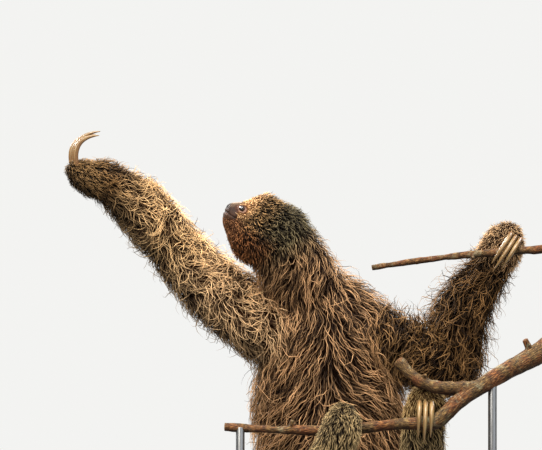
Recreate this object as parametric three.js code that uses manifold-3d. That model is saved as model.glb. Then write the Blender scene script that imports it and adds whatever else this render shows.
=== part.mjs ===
// Brown-throated three-toed sloth, a life-size still model: it hangs upright by its hands and feet in a
// forked branch, which two steel rods hold over a wooden base.
// Millimetres, +Z up. The origin is the centre of the base's underside. The belly faces -Y and the head is
// turned towards -X. Left and right in the names are the animal's own, and every girth is over the coat.
import * as THREE from "three";
import { mergeVertices } from "three/addons/utils/BufferGeometryUtils.js";
import Module from "manifold-3d";

const wasm = await Module();
wasm.setup();

// ---- Driving dimensions ----

const GAP = 0.35; // between pieces that meet

const BASE = { length: 480, depth: 350, height: 24, corner: 40, bevel: 4 };
const ROD = { radius: 6, flangeRadius: 20, flangeHeight: 5, flangeRise: 9, sides: 12 };
// Where the rods stand, and the height of the branch's axis over them.
const RODS = {
  left: { x: -146, y: -134, axis: 336 },
  right: { x: 202, y: -133, axis: 404 },
};

// The head's own frame: +X forward, +Y to its left and +Z up, from a point midway between the eyes.
const HEAD = { origin: [-144, -30, 638], pitch: 25, yaw: 4, sides: 20, rings: 11 };
// The head's section at stations from the nose backwards: its top, bottom and half-width.
const HEAD_PROFILE = [
  { at: 20.5, top: -1.5, bottom: -18, half: 11 },
  { at: 17, top: 1.5, bottom: -29, half: 16.5 },
  { at: 8, top: 6, bottom: -39, half: 22.5 },
  { at: 0, top: 11, bottom: -47, half: 28 },
  { at: -11, top: 23, bottom: -57, half: 35 },
  { at: -24, top: 37, bottom: -65, half: 40 },
  { at: -42, top: 39, bottom: -68, half: 45 },
  { at: -62, top: 33, bottom: -60, half: 43 },
  { at: -80, top: 21, bottom: -44, half: 34 },
];
const MUZZLE_CUT = 10; // the bare muzzle starts this far in front of the eyes
const EYE = { radius: 5.2, forward: 1, up: 0.5, aside: 16.4, sides: 9 };

// Trunk sections from the shoulders down.
const TRUNK = [
  { centre: [-34, 0, 497], across: 66, deep: 60 },
  { centre: [-28, 8, 454], across: 104, deep: 82 },
  { centre: [-25, 15, 405], across: 112, deep: 91 },
  { centre: [-21, 20, 349], across: 115, deep: 97 },
  { centre: [-16, 22, 286], across: 116, deep: 99 },
  { centre: [-12, 20, 230], across: 107, deep: 95 },
  { centre: [-10, 18, 182], across: 86, deep: 80 },
  { centre: [-10, 16, 150], across: 58, deep: 56 },
];
const NECK = [
  { centre: [-103, -28, 604], across: 50, deep: 45 },
  { centre: [-84, -24, 569], across: 56, deep: 49 },
  { centre: [-58, -14, 533], across: 60, deep: 54 },
  { centre: [-38, -2, 496], across: 68, deep: 62 },
];
const TAIL = [
  { centre: [-10, 78, 168], across: 19, deep: 19 },
  { centre: [-8, 118, 132], across: 13, deep: 13 },
];

// Joints of the limbs, each with the girth there.
const JOINT = {
  rightShoulder: { centre: [-110, 2, 471], girth: 57 },
  rightUpperArm: { centre: [-180, 22, 521], girth: 54 },
  rightElbow: { centre: [-234, 38, 577], girth: 46 },
  rightForearm: { centre: [-286, 12, 639], girth: 44.5 },
  rightWrist: { centre: [-335, -12, 677], girth: 34 },
  leftShoulder: { centre: [48, 2, 455], girth: 54 },
  leftUpperArm: { centre: [100, 36, 434], girth: 54 },
  leftElbow: { centre: [146, 62, 418], girth: 52 },
  leftForearm: { centre: [162, 50, 484], girth: 49 },
  leftWrist: { centre: [209, 26, 562], girth: 34 },
  rightHip: { centre: [-62, 5, 215], girth: 54 },
  rightKnee: { centre: [-86, -108, 214], girth: 45 },
  rightAnkle: { centre: [-28, -168, 290], girth: 30 },
  leftHip: { centre: [40, 5, 215], girth: 56 },
  leftKnee: { centre: [100, -108, 222], girth: 46 },
  leftAnkle: { centre: [107, -106, 326], girth: 33 },
};
const FLATTER = 0.92; // a limb is a little flatter from front to back
// A limb's reference is the direction its depth is measured in.
const LIMBS = {
  upper_arm_right: { through: ["rightShoulder", "rightUpperArm", "rightElbow"], reference: [0, 1, 0] },
  forearm_right: { through: ["rightElbow", "rightForearm", "rightWrist"], reference: [0, 1, 0] },
  upper_arm_left: { through: ["leftShoulder", "leftUpperArm", "leftElbow"], reference: [0, 1, 0] },
  forearm_left: { through: ["leftElbow", "leftForearm", "leftWrist"], reference: [0, 1, 0] },
  thigh_right: { through: ["rightHip", "rightKnee"], reference: [1, 0, 0] },
  shank_right: { through: ["rightKnee", "rightAnkle"], reference: [0, 1, 0] },
  thigh_left: { through: ["leftHip", "leftKnee"], reference: [1, 0, 0] },
  shank_left: { through: ["leftKnee", "leftAnkle"], reference: [0, 1, 0] },
};

// Hands and feet from the wrist or ankle to the knuckles, and the middle claw of each. A claw's arc stands
// out towards bulge, by sag in its middle, and row is the step from one claw to the next.
const PAWS = {
  hand_right: {
    sections: [
      { centre: [-335, -12, 677], across: 33.5, deep: 27 },
      { centre: [-353, -16, 679], across: 29, deep: 25 },
      { centre: [-366, -18, 685], across: 25, deep: 22 },
      { centre: [-378, -20, 692], across: 17, deep: 17 },
    ],
    claw: { root: [-379, -19, 700], tip: [-344.5, -10, 744.5], bulge: [-1, 0, 0.9], sag: 14.5 },
    row: [3.4, -8.4, 0.2],
  },
  hand_left: {
    sections: [
      { centre: [209, 26, 562], across: 33.5, deep: 28 },
      { centre: [218, 24, 576], across: 33.5, deep: 28 },
      { centre: [224, 20, 588], across: 31.5, deep: 26 },
      { centre: [229.5, 14, 599], across: 23, deep: 21 },
    ],
    claw: { root: [239, -1, 598], tip: [209.6, -20, 554], bulge: [0.1, -1, 0.15], sag: 15 },
    row: [6.2, 1.2, -4.4],
  },
  foot_right: {
    sections: [
      { centre: [-26, -172, 297], across: 29, deep: 27 },
      { centre: [-12, -177, 320], across: 31, deep: 28 },
      { centre: [-6, -173, 340], across: 29, deep: 26 },
      { centre: [-5, -165, 353], across: 21, deep: 19 },
    ],
    claw: { root: [-5, -160, 357], tip: [-5, -119, 316], bulge: [0, 0.7, 0.75], sag: 16 },
    row: [8.6, 0, 0],
  },
  foot_left: {
    sections: [
      { centre: [107, -106, 336], across: 33, deep: 28 },
      { centre: [110, -109, 354], across: 33, deep: 28 },
      { centre: [111, -115, 369], across: 29, deep: 25 },
      { centre: [111, -122, 377], across: 20, deep: 17 },
    ],
    claw: { root: [110, -129, 371], tip: [107, -159, 318], bulge: [0, -1, 0.25], sag: 20 },
    row: [8.6, 0.6, -0.4],
  },
};
// The middle claw of the three is the longest.
const CLAW = { halfWidth: 3.1, halfHeight: 3.9, tip: 0.55, steps: 6, sides: 7, lengths: [0.92, 1.06, 0.9] };

// Branches: the line each follows, and its radius where the line starts and ends.
const BRANCHES = {
  perch_limb: {
    line: [
      [-168, -132, 336], [-77, -137, 332], [-6, -142, 333], [77, -149, 341], [122, -150, 344],
      [158, -146, 374], [217, -126, 411], [276, -98, 443], [350, -56, 516],
    ],
    radius: [5.4, 14.5],
    steps: 22,
  },
  perch_fork: {
    line: [[186, -139, 391], [150, -142, 390], [118, -140, 393], [94, -132, 405], [72, -120, 427]],
    radius: [9.6, 8],
    steps: 9,
  },
  perch_twig: {
    line: [
      [338, -63, 503], [328, -44, 552], [300, -28, 579], [262, -14, 580], [224, -9, 577],
      [169, -6, 573], [77, 4, 561], [38, 8, 555],
    ],
    radius: [6.8, 4.4],
    steps: 15,
  },
};
const BRANCH_SIDES = 8;

const COLOUR = {
  coat: 0x8a6a47,
  darkCoat: 0x5a452f,
  head: 0x77573a,
  muzzle: 0x3f342f,
  eye: 0x1a0f0a,
  claw: 0xcdb98c,
  bark: 0x7a5640,
  wood: 0x5b3b26,
  steel: 0x9a9c9f,
};

// ---- From geometry to solid and back ----

// A closed geometry as a solid, turned round if its faces point inwards.
function solid(geometry) {
  const bare = geometry.clone();
  bare.deleteAttribute("normal");
  bare.deleteAttribute("uv");
  const merged = mergeVertices(bare, 1e-4);
  const triVerts = new Uint32Array(merged.index.array);
  const mesh = { numProp: 3, vertProperties: merged.attributes.position.array, triVerts };
  const made = new wasm.Manifold(new wasm.Mesh(mesh));
  if (made.volume() > 0) return made;
  for (let i = 0; i < triVerts.length; i += 3) {
    triVerts.subarray(i, i + 3).reverse();
  }
  return new wasm.Manifold(new wasm.Mesh(mesh));
}

// The largest body of a solid, as a geometry.
function geometryOf(manifold) {
  const [largest] = manifold.decompose().sort((a, b) => b.volume() - a.volume());
  const mesh = largest.getMesh();
  const geometry = new THREE.BufferGeometry();
  geometry.setAttribute("position", new THREE.BufferAttribute(new Float32Array(mesh.vertProperties), 3));
  geometry.setIndex(new THREE.BufferAttribute(new Uint32Array(mesh.triVerts), 1));
  geometry.computeVertexNormals();
  return geometry;
}

// ---- Lofts ----

// One closed surface over rings of equal size, drawn together at a point beyond the first and the last.
function loft(rings, startPole, endPole) {
  const sides = rings[0].length;
  const points = [startPole, ...rings.flat(), endPole];
  const at = (ring, side) => 1 + ring * sides + (side % sides);
  const last = rings.length - 1;
  const faces = [];
  for (let side = 0; side < sides; side += 1) {
    faces.push(0, at(0, side + 1), at(0, side));
    faces.push(points.length - 1, at(last, side), at(last, side + 1));
    for (let ring = 0; ring < last; ring += 1) {
      faces.push(at(ring, side), at(ring, side + 1), at(ring + 1, side + 1));
      faces.push(at(ring, side), at(ring + 1, side + 1), at(ring + 1, side));
    }
  }
  return new THREE.BufferGeometry().setFromPoints(points).setIndex(faces);
}

const vector = (place) => new THREE.Vector3(...place);
const anglesOf = (sides) => Array.from({ length: sides }, (_, side) => (2 * Math.PI * side) / sides);

// The value at u, from 0 to 1, in a list of evenly spaced values, eased from one to the next.
function valueAt(values, u) {
  const place = Math.min(Math.max(u, 0), 1) * (values.length - 1);
  const before = Math.min(Math.floor(place), values.length - 2);
  const share = THREE.MathUtils.smoothstep(place - before, 0, 1);
  return THREE.MathUtils.lerp(values[before], values[before + 1], share);
}

// An ellipse across the direction of travel, with its depth measured along the reference direction.
// girthAt gives the share of the full girth at each angle round it.
function ellipse({ centre, tangent, reference, across, deep, sides, girthAt = () => 1 }) {
  const deepWay = vector(reference).projectOnPlane(tangent).normalize();
  const acrossWay = new THREE.Vector3().crossVectors(tangent, deepWay);
  return anglesOf(sides).map((angle) =>
    centre
      .clone()
      .addScaledVector(acrossWay, Math.cos(angle) * across * girthAt(angle))
      .addScaledVector(deepWay, Math.sin(angle) * deep * girthAt(angle)),
  );
}

// A furry limb through sections, with round ends. The coat's locks make low waves in it, from the phase shag.
const CAP_TURNS = [0.6, 1.15];
function furred(sections, { sides, steps, grow, reference = [0, 1, 0], shag = 0, cap = 0.8 }) {
  const path = new THREE.CatmullRomCurve3(sections.map((s) => vector(s.centre)), false, "centripetal");
  const girths = (u) => ["across", "deep"].map((key) => valueAt(sections.map((s) => s[key]), u) + grow);
  const ringAt = (u, centre, left) => {
    const [across, deep] = girths(u).map((girth) => girth * left);
    const girthAt = (angle) =>
      1 + 0.022 * Math.sin(3 * angle + 8 * u + shag) + 0.018 * Math.sin(5 * angle - 12 * u + 2 * shag);
    return ellipse({ centre, tangent: path.getTangent(u), reference, across, deep, sides, girthAt });
  };
  const roundEnd = (u, outwards) => {
    const reach = outwards * cap * Math.min(...girths(u));
    const beyond = (share) => path.getPoint(u).addScaledVector(path.getTangent(u), reach * share);
    const rings = CAP_TURNS.map((turn) => ringAt(u, beyond(Math.sin(turn)), Math.cos(turn)));
    return { rings, pole: beyond(1) };
  };
  const body = Array.from({ length: steps + 1 }, (_, step) => {
    const u = step / steps;
    return ringAt(u, path.getPoint(u), 1);
  });
  const start = roundEnd(0, -1);
  const end = roundEnd(1, 1);
  return solid(loft([...start.rings.reverse(), ...body, ...end.rings], start.pole, end.pole));
}

// ---- Head, muzzle and eyes ----

const headPlace = new THREE.Matrix4()
  .makeTranslation(...HEAD.origin)
  .multiply(new THREE.Matrix4().makeRotationZ(THREE.MathUtils.degToRad(180 + HEAD.yaw)))
  .multiply(new THREE.Matrix4().makeRotationY(THREE.MathUtils.degToRad(-HEAD.pitch)));
const NOSE_END = HEAD_PROFILE[0].at;
const NAPE_END = HEAD_PROFILE[HEAD_PROFILE.length - 1].at;
// How far each end of the head runs past its last station, and how much is left of the section there.
const NOSE_CAP = [{ past: 1, left: 0.7 }];
const NAPE_CAP = [{ past: 9, left: 0.82 }, { past: 16, left: 0.5 }];

function profileAt(forward) {
  const next = Math.max(1, HEAD_PROFILE.findIndex((station) => station.at <= forward));
  const [before, after] = [HEAD_PROFILE[next - 1], HEAD_PROFILE[next]];
  const share = (before.at - forward) / (before.at - after.at);
  return ["top", "bottom", "half"].map((key) => THREE.MathUtils.lerp(before[key], after[key], share));
}

function headRing(forward, past, left, grow) {
  const [top, bottom, half] = profileAt(forward);
  const middle = (top + bottom) / 2;
  return anglesOf(HEAD.sides).map((angle) => {
    const cheek = 1 - 0.1 * Math.sin(angle); // fuller below than above
    const aside = Math.cos(angle) * (half * cheek * left + grow);
    const up = Math.sin(angle) * (((top - bottom) / 2) * left + grow);
    return new THREE.Vector3(forward + past, aside, middle + up);
  });
}

function headSolid(grow) {
  const rings = Array.from({ length: HEAD.rings + 1 }, (_, ring) => {
    const share = (ring / HEAD.rings) ** 1.15; // closer together at the face
    return headRing(THREE.MathUtils.lerp(NOSE_END, NAPE_END, share), 0, 1, grow);
  });
  rings.unshift(...NOSE_CAP.map(({ past, left }) => headRing(NOSE_END, past + grow, left, grow)));
  rings.push(...NAPE_CAP.map(({ past, left }) => headRing(NAPE_END, -past - grow, left, grow)));
  const pole = (forward, past) => {
    const [top, bottom] = profileAt(forward);
    return new THREE.Vector3(forward + past, 0, (top + bottom) / 2);
  };
  const surface = loft(rings, pole(NOSE_END, 1.6 + grow), pole(NAPE_END, -19 - grow));
  return solid(surface.applyMatrix4(headPlace));
}

// A block across the head that holds all of it between two stations.
function headBetween(back, front) {
  const block = new THREE.BoxGeometry(front - back, 200, 200);
  return solid(block.translate((back + front) / 2, 0, 0).applyMatrix4(headPlace));
}

function eyeSolid(side, grow) {
  const ball = new THREE.SphereGeometry(EYE.radius + grow, EYE.sides, EYE.sides - 2);
  ball.translate(EYE.forward, side * EYE.aside, EYE.up);
  return solid(ball.applyMatrix4(headPlace));
}

// ---- Trunk, neck, tail, limbs, hands and feet ----

const trunkSolid = (grow) => furred(TRUNK, { sides: 20, steps: 12, grow, shag: 1.3, cap: 0.62 });
const neckSolid = (grow) => furred(NECK, { sides: 14, steps: 4, grow, shag: 2.1 });
const tailSolid = (grow) => furred(TAIL, { sides: 9, steps: 2, grow, reference: [1, 0, 0] });
const pawSolid = (paw, grow) => furred(paw.sections, { sides: 13, steps: 4, grow, cap: 0.8 });

function limbSolid(name, grow) {
  const { through, reference } = LIMBS[name];
  const sections = through.map((joint) => {
    const { centre, girth } = JOINT[joint];
    return { centre, across: girth, deep: girth * FLATTER };
  });
  return furred(sections, { sides: 13, steps: through.length * 2 - 1, grow, reference, shag: name.length });
}

function clawSolid(paw, index) {
  const { root, tip, bulge, sag } = paw.claw;
  const start = vector(root).addScaledVector(vector(paw.row), index - 1);
  const chord = vector(tip).sub(vector(root)).multiplyScalar(CLAW.lengths[index]);
  const outward = vector(bulge).projectOnPlane(chord.clone().normalize()).normalize();
  const aside = new THREE.Vector3().crossVectors(chord, outward).normalize();
  const rise = (u) => sag * 4 * u * (1 - u);
  const place = (u) => start.clone().addScaledVector(chord, u).addScaledVector(outward, rise(u));
  const rings = Array.from({ length: CLAW.steps + 1 }, (_, step) => {
    const u = step / CLAW.steps;
    const tangent = place(u + 0.01).sub(place(u - 0.01)).normalize();
    const [halfWidth, halfHeight] = [CLAW.halfWidth, CLAW.halfHeight].map((girth) =>
      THREE.MathUtils.lerp(girth, CLAW.tip, u ** 1.6),
    );
    const centre = place(u);
    const reference = aside.toArray();
    return ellipse({ centre, tangent, reference, across: halfHeight, deep: halfWidth, sides: CLAW.sides });
  });
  return solid(loft(rings, place(0), place(1.012)));
}

// ---- Perch and stand ----

// A branch with swellings along it and a sawn face at each end.
function branchSolid(name, grow) {
  const { line, radius, steps } = BRANCHES[name];
  const path = new THREE.CatmullRomCurve3(line.map(vector), false, "centripetal");
  const rings = Array.from({ length: steps + 1 }, (_, step) => {
    const u = step / steps;
    const knots = 1 + 0.07 * Math.sin(23 * u + line.length) + 0.05 * Math.sin(41 * u);
    const girth = THREE.MathUtils.lerp(...radius, THREE.MathUtils.smoothstep(u, 0, 1)) * knots + grow;
    return ellipse({
      centre: path.getPoint(u),
      tangent: path.getTangent(u),
      reference: [0.1, 0.3, 1],
      across: girth,
      deep: girth,
      sides: BRANCH_SIDES,
    });
  });
  return solid(loft(rings, path.getPoint(0), path.getPoint(1)));
}

// A board with round corners and a bevel all round its top and bottom.
function baseGeometry() {
  const { length, depth, height, corner, bevel } = BASE;
  const [x, y] = [length / 2 - bevel, depth / 2 - bevel];
  const outline = new THREE.Shape();
  outline.absarc(x - corner, corner - y, corner, -Math.PI / 2, 0);
  outline.absarc(x - corner, y - corner, corner, 0, Math.PI / 2);
  outline.absarc(corner - x, y - corner, corner, Math.PI / 2, Math.PI);
  outline.absarc(corner - x, corner - y, corner, Math.PI, Math.PI * 1.5);
  outline.closePath();
  const slab = new THREE.ExtrudeGeometry(outline, {
    depth: height - 2 * bevel,
    bevelThickness: bevel,
    bevelSize: bevel,
    bevelSegments: 1,
    curveSegments: 4,
  });
  return slab.translate(0, 0, bevel);
}

// The flange that a rod is screwed into, lying on the base.
function flangeGeometry({ x, y }) {
  const { radius, flangeRadius, flangeHeight, flangeRise, sides } = ROD;
  const profile = [
    [0, 0], [flangeRadius, 0], [flangeRadius, flangeHeight], [radius + 3, flangeRise], [0, flangeRise],
  ];
  const turned = new THREE.LatheGeometry(profile.map((point) => new THREE.Vector2(...point)), sides);
  return turned.rotateX(Math.PI / 2).translate(x, y, BASE.height + GAP);
}

// A rod from its flange up to the axis of the branch, which rests in its top.
function rodSolid({ x, y, axis }) {
  const foot = BASE.height + ROD.flangeRise + 2 * GAP;
  const rod = new THREE.CylinderGeometry(ROD.radius, ROD.radius, axis - foot, ROD.sides);
  return solid(rod.rotateX(Math.PI / 2).translate(x, y, (axis + foot) / 2));
}

// ---- Assembly ----

const group = new THREE.Group();
const finish = (color, roughness, metalness = 0) =>
  new THREE.MeshStandardMaterial({ color, roughness, metalness });
const FINISH = {
  coat: finish(COLOUR.coat, 0.95),
  darkCoat: finish(COLOUR.darkCoat, 0.95),
  head: finish(COLOUR.head, 0.95),
  muzzle: finish(COLOUR.muzzle, 0.6),
  eye: finish(COLOUR.eye, 0.1),
  horn: finish(COLOUR.claw, 0.45),
  bark: finish(COLOUR.bark, 0.85),
  wood: finish(COLOUR.wood, 0.5),
  steel: finish(COLOUR.steel, 0.35, 1),
};

function place(name, geometry, material) {
  const mesh = new THREE.Mesh(geometry, material);
  mesh.name = name;
  group.add(mesh);
}

const branches = Object.fromEntries(Object.keys(BRANCHES).map((name) => [name, branchSolid(name, GAP)]));
const perch = Object.values(branches).reduce((all, branch) => all.add(branch));

// Each piece of the body gives way to the perch and to the pieces placed before it.
let taken = perch;
function placeFlesh(name, shape, material) {
  place(name, geometryOf(shape(0).subtract(taken)), material);
  taken = taken.add(shape(GAP));
}

placeFlesh("trunk", trunkSolid, FINISH.coat);
const eyes = { eye_right: -1, eye_left: 1 };
for (const [name, side] of Object.entries(eyes)) {
  placeFlesh(name, (grow) => eyeSolid(side, grow), FINISH.eye);
}
placeFlesh("muzzle", (grow) => headSolid(grow).intersect(headBetween(MUZZLE_CUT - grow, 200)), FINISH.muzzle);
placeFlesh("head", headSolid, FINISH.head);
placeFlesh("neck", neckSolid, FINISH.darkCoat);
for (const name of Object.keys(LIMBS)) {
  placeFlesh(name, (grow) => limbSolid(name, grow), FINISH.coat);
}
for (const [name, paw] of Object.entries(PAWS)) {
  placeFlesh(name, (grow) => pawSolid(paw, grow), FINISH.darkCoat);
}
placeFlesh("tail", tailSolid, FINISH.darkCoat);
for (const [name, paw] of Object.entries(PAWS)) {
  for (const index of CLAW.lengths.keys()) {
    place(`claw_${name}_${index + 1}`, geometryOf(clawSolid(paw, index).subtract(taken)), FINISH.horn);
  }
}

const { perch_limb: limb, perch_fork: fork } = branches;
place("perch_limb", geometryOf(branchSolid("perch_limb", 0)), FINISH.bark);
place("perch_fork", geometryOf(branchSolid("perch_fork", 0).subtract(limb)), FINISH.bark);
place("perch_twig", geometryOf(branchSolid("perch_twig", 0).subtract(limb)), FINISH.bark);

place("stand_base", baseGeometry(), FINISH.wood);
for (const [side, rod] of Object.entries(RODS)) {
  place(`stand_flange_${side}`, flangeGeometry(rod), FINISH.steel);
  place(`stand_rod_${side}`, geometryOf(rodSolid(rod).subtract(limb).subtract(fork)), FINISH.steel);
}

export default group;
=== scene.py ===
"""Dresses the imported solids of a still, life-size three-toed sloth on its perch and display stand.

The animal gets one skin, worked out from the same stations as its solids but lying inside them by the
depth of the coat, and a coat of solid tufts that follow the lie of the hair. Lengths are millimetres until
a mesh is made, and metres from there on.
"""

import math

import bmesh
import bpy
import numpy as np
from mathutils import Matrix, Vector, kdtree


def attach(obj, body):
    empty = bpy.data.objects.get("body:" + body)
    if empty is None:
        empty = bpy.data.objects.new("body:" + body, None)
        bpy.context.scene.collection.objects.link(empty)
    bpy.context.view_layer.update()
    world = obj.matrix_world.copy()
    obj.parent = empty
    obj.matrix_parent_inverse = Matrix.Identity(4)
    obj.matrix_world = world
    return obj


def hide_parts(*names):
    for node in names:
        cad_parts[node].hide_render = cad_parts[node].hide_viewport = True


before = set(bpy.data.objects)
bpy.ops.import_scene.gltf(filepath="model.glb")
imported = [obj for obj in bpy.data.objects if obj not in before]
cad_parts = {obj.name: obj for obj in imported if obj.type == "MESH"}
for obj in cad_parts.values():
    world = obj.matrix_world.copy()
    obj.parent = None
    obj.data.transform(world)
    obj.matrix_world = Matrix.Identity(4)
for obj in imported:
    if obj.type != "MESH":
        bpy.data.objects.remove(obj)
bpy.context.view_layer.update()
MM = 0.001
BODY = "root"
FAR = 1e3  # millimetres: further than anything on the animal is from anything else
TINY = 1e-6  # keeps a length from being nought
LEAST = 1e-9  # keeps a divisor from being nought
random = np.random.default_rng(7)


# ---- Colours and materials ----

def linear(code):
    """An sRGB hex value as linear red, green, blue and alpha."""
    parts = [int(code[i:i + 2], 16) / 255 for i in (1, 3, 5)]
    return (*[c / 12.92 if c <= 0.04045 else ((c + 0.055) / 1.055) ** 2.4 for c in parts], 1.0)


# Each tone of the coat: what is seen deep between the tufts, dark partly with painted shade, and what is seen at
# their tips.
COAT = {
    "straw": ("#3c2311", "#f8ce96"),
    "tan": ("#331d0e", "#f6cc99"),
    "brown": ("#1c0d05", "#c1966b"),
    "umber": ("#160a03", "#8f6b42"),
    "russet": ("#100602", "#8c6840"),
    "hand": ("#080401", "#9c794e"),
    "dome": ("#28150a", "#dcb486"),
    "sole": ("#341f0a", "#c2a26d"),
    "olive": ("#100702", "#b79d70"),
    "golden": ("#5a3417", "#fccb92"),
    "rust": ("#0e0402", "#a1683f"),
    "chin": ("#351a0b", "#a8754e"),
    "grizzle": ("#060301", "#796c4f"),
    "crown": ("#0e0602", "#bd9463"),
    "back": ("#180f08", "#a18d70"),
}
TONES = {name: (np.array(linear(deep)[:3]), np.array(linear(tip)[:3]))
         for name, (deep, tip) in COAT.items()}


def node(tree, kind, settings=None, **inputs):
    """Adds one node with its settings, and fills its inputs or links them.

    An input is named, or numbered after a low line. A node given as a value links by its first output.
    """
    made = tree.nodes.new(kind)
    for name, value in (settings or {}).items():
        if name == "stops":
            elements = made.color_ramp.elements
            while len(elements) < len(value):
                elements.new(0.5)
            for element, (place, code) in zip(elements, value):
                element.position = place
                element.color = linear(code)
        else:
            setattr(made, name, value)
    for name, value in inputs.items():
        key = int(name[1:]) if name[0] == "_" else name.replace("_", " ")
        if isinstance(value, bpy.types.Node):
            value = next(out for out in value.outputs if out.enabled)
        if isinstance(value, bpy.types.NodeSocket):
            tree.links.new(value, made.inputs[key])
        else:
            made.inputs[key].default_value = value
    return made


def new_material(name):
    """An empty node material, its tree, and a function that joins a surface to its output."""
    made = bpy.data.materials.new(name)
    made.use_nodes = True
    tree = made.node_tree
    tree.nodes.clear()
    out = tree.nodes.new("ShaderNodeOutputMaterial")
    return made, tree, lambda shader: tree.links.new(shader.outputs[0], out.inputs["Surface"])


def per_metre(size):
    """A pattern's scale, from the size of its marks in millimetres."""
    return 1 / (size * MM)


BLEND = {"data_type": "RGBA"}
DARKEN = {"data_type": "RGBA", "blend_type": "MULTIPLY"}
ADD, TIMES, SINE = ({"operation": name} for name in ("ADD", "MULTIPLY", "SINE"))


# ---- The animal's lines, in millimetres ----
# Each station of a line: its centre, its half widths across and deep, the depth of the coat, the length
# and width of a tuft, and the tone of the coat. The half widths are the solids' own, over the coat.
TRUNK = [
    (-91, -28, 597, 52, 46, 13, 20, 1.8, "grizzle"),
    (-80, -24, 571, 59, 50, 15, 30, 1.9, "brown"),
    (-57, -14, 534, 62, 55, 18, 40, 2.0, "brown"),
    (-36, -1, 497, 67, 61, 19, 46, 2.1, "brown"),
    (-28, 8, 454, 104, 82, 21, 50, 2.15, "brown"),
    (-25, 15, 405, 112, 91, 22, 54, 2.15, "brown"),
    (-21, 20, 349, 115, 97, 22, 56, 2.15, "brown"),
    (-16, 22, 286, 116, 99, 22, 56, 2.15, "brown"),
    (-12, 20, 230, 107, 95, 22, 52, 2.15, "brown"),
    (-10, 18, 182, 86, 80, 21, 48, 2.1, "brown"),
    (-10, 16, 160, 62, 58, 20, 42, 2.1, "brown"),
]
ARM_RIGHT = [
    (-92, 4, 462, 57, 52, 18, 42, 2.2, "tan"),
    (-110, 2, 471, 57, 52, 17, 42, 2.2, "tan"),
    (-180, 22, 521, 54, 50, 16, 40, 2.1, "tan"),
    (-234, 38, 577, 46, 42, 14, 36, 2.0, "straw"),
    (-286, 12, 639, 44.5, 41, 13, 32, 2.0, "straw"),
    (-335, -12, 677, 34, 29, 9, 20, 1.8, "umber"),
    (-353, -16, 679, 29, 25, 7, 14, 1.6, "hand"),
    (-366, -18, 685, 25, 22, 6, 11, 1.5, "hand"),
    (-377, -20, 692, 17, 17, 5, 8, 1.4, "hand"),
]
ARM_LEFT = [
    (30, 0, 462, 54, 50, 18, 42, 2.2, "umber"),
    (48, 2, 455, 54, 50, 17, 42, 2.2, "umber"),
    (100, 36, 434, 54, 50, 16, 42, 2.2, "umber"),
    (146, 62, 418, 52, 48, 15, 46, 2.1, "russet"),
    (162, 50, 484, 49, 45, 15, 50, 2.0, "russet"),
    (209, 26, 562, 34, 29, 9, 26, 1.8, "russet"),
    (218, 24, 576, 33.5, 28, 7, 13, 1.6, "dome"),
    (224, 20, 588, 31.5, 26, 6, 11, 1.5, "dome"),
    (229.5, 14, 599, 23, 21, 5, 8, 1.4, "dome"),
]
LEG_RIGHT = [
    (-62, 5, 215, 54, 50, 17, 42, 2.2, "brown"),
    (-86, -108, 214, 45, 42, 15, 36, 2.1, "olive"),
    (-28, -168, 290, 30, 28, 8, 20, 1.8, "olive"),
    (-12, -177, 320, 31, 28, 7, 13, 1.6, "olive"),
    (-6, -173, 340, 29, 26, 6, 11, 1.5, "olive"),
    (-5, -165, 353, 21, 19, 5, 8, 1.4, "olive"),
]
LEG_LEFT = [
    (40, 5, 215, 56, 52, 17, 42, 2.2, "brown"),
    (100, -108, 222, 46, 43, 15, 36, 2.1, "olive"),
    (107, -106, 326, 33, 28, 8, 20, 1.8, "olive"),
    (110, -109, 354, 33, 28, 7, 13, 1.6, "sole"),
    (111, -115, 369, 29, 25, 6, 11, 1.5, "sole"),
    (111, -122, 377, 20, 17, 5, 8, 1.4, "sole"),
]
TAIL = [
    (-9, 60, 176, 22, 20, 11, 20, 2.0, "brown"),
    (-10, 78, 168, 20, 19, 11, 20, 2.0, "brown"),
    (-8, 118, 132, 14, 13, 9, 14, 1.8, "brown"),
]
DOWN = np.array([0.0, 0.0, -1.0])
STATION_STEP = 11.0  # between the places worked out along a line
BATCH = 16384  # points worked out at a time, few enough to be quick


def curve_through(rows, step):
    """Rows of numbers along a smooth line through the given rows, about a step of their places apart.

    The line is a Catmull-Rom curve with its knots spaced by the root of the distance, so it never loops.
    """
    rows = np.array(rows, float)
    ends = np.vstack([2 * rows[0] - rows[1], rows, 2 * rows[-1] - rows[-2]])
    made = []
    for i in range(len(rows) - 1):
        a, b, c, d = ends[i:i + 4]
        knots = [0.0]
        for p, q in ((a, b), (b, c), (c, d)):
            knots.append(knots[-1] + max(np.linalg.norm(q[:3] - p[:3]), TINY) ** 0.5)
        k0, k1, k2, k3 = knots
        count = max(1, round(np.linalg.norm(c[:3] - b[:3]) / step))
        for t in np.linspace(k1, k2, count, endpoint=False):
            ab = ((k1 - t) * a + (t - k0) * b) / (k1 - k0)
            bc = ((k2 - t) * b + (t - k1) * c) / (k2 - k1)
            cd = ((k3 - t) * c + (t - k2) * d) / (k3 - k2)
            abc = ((k2 - t) * ab + (t - k0) * bc) / (k2 - k0)
            bcd = ((k3 - t) * bc + (t - k1) * cd) / (k3 - k1)
            made.append(((k2 - t) * abc + (t - k1) * bcd) / (k2 - k1))
    return np.array(made + [rows[-1]])


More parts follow.
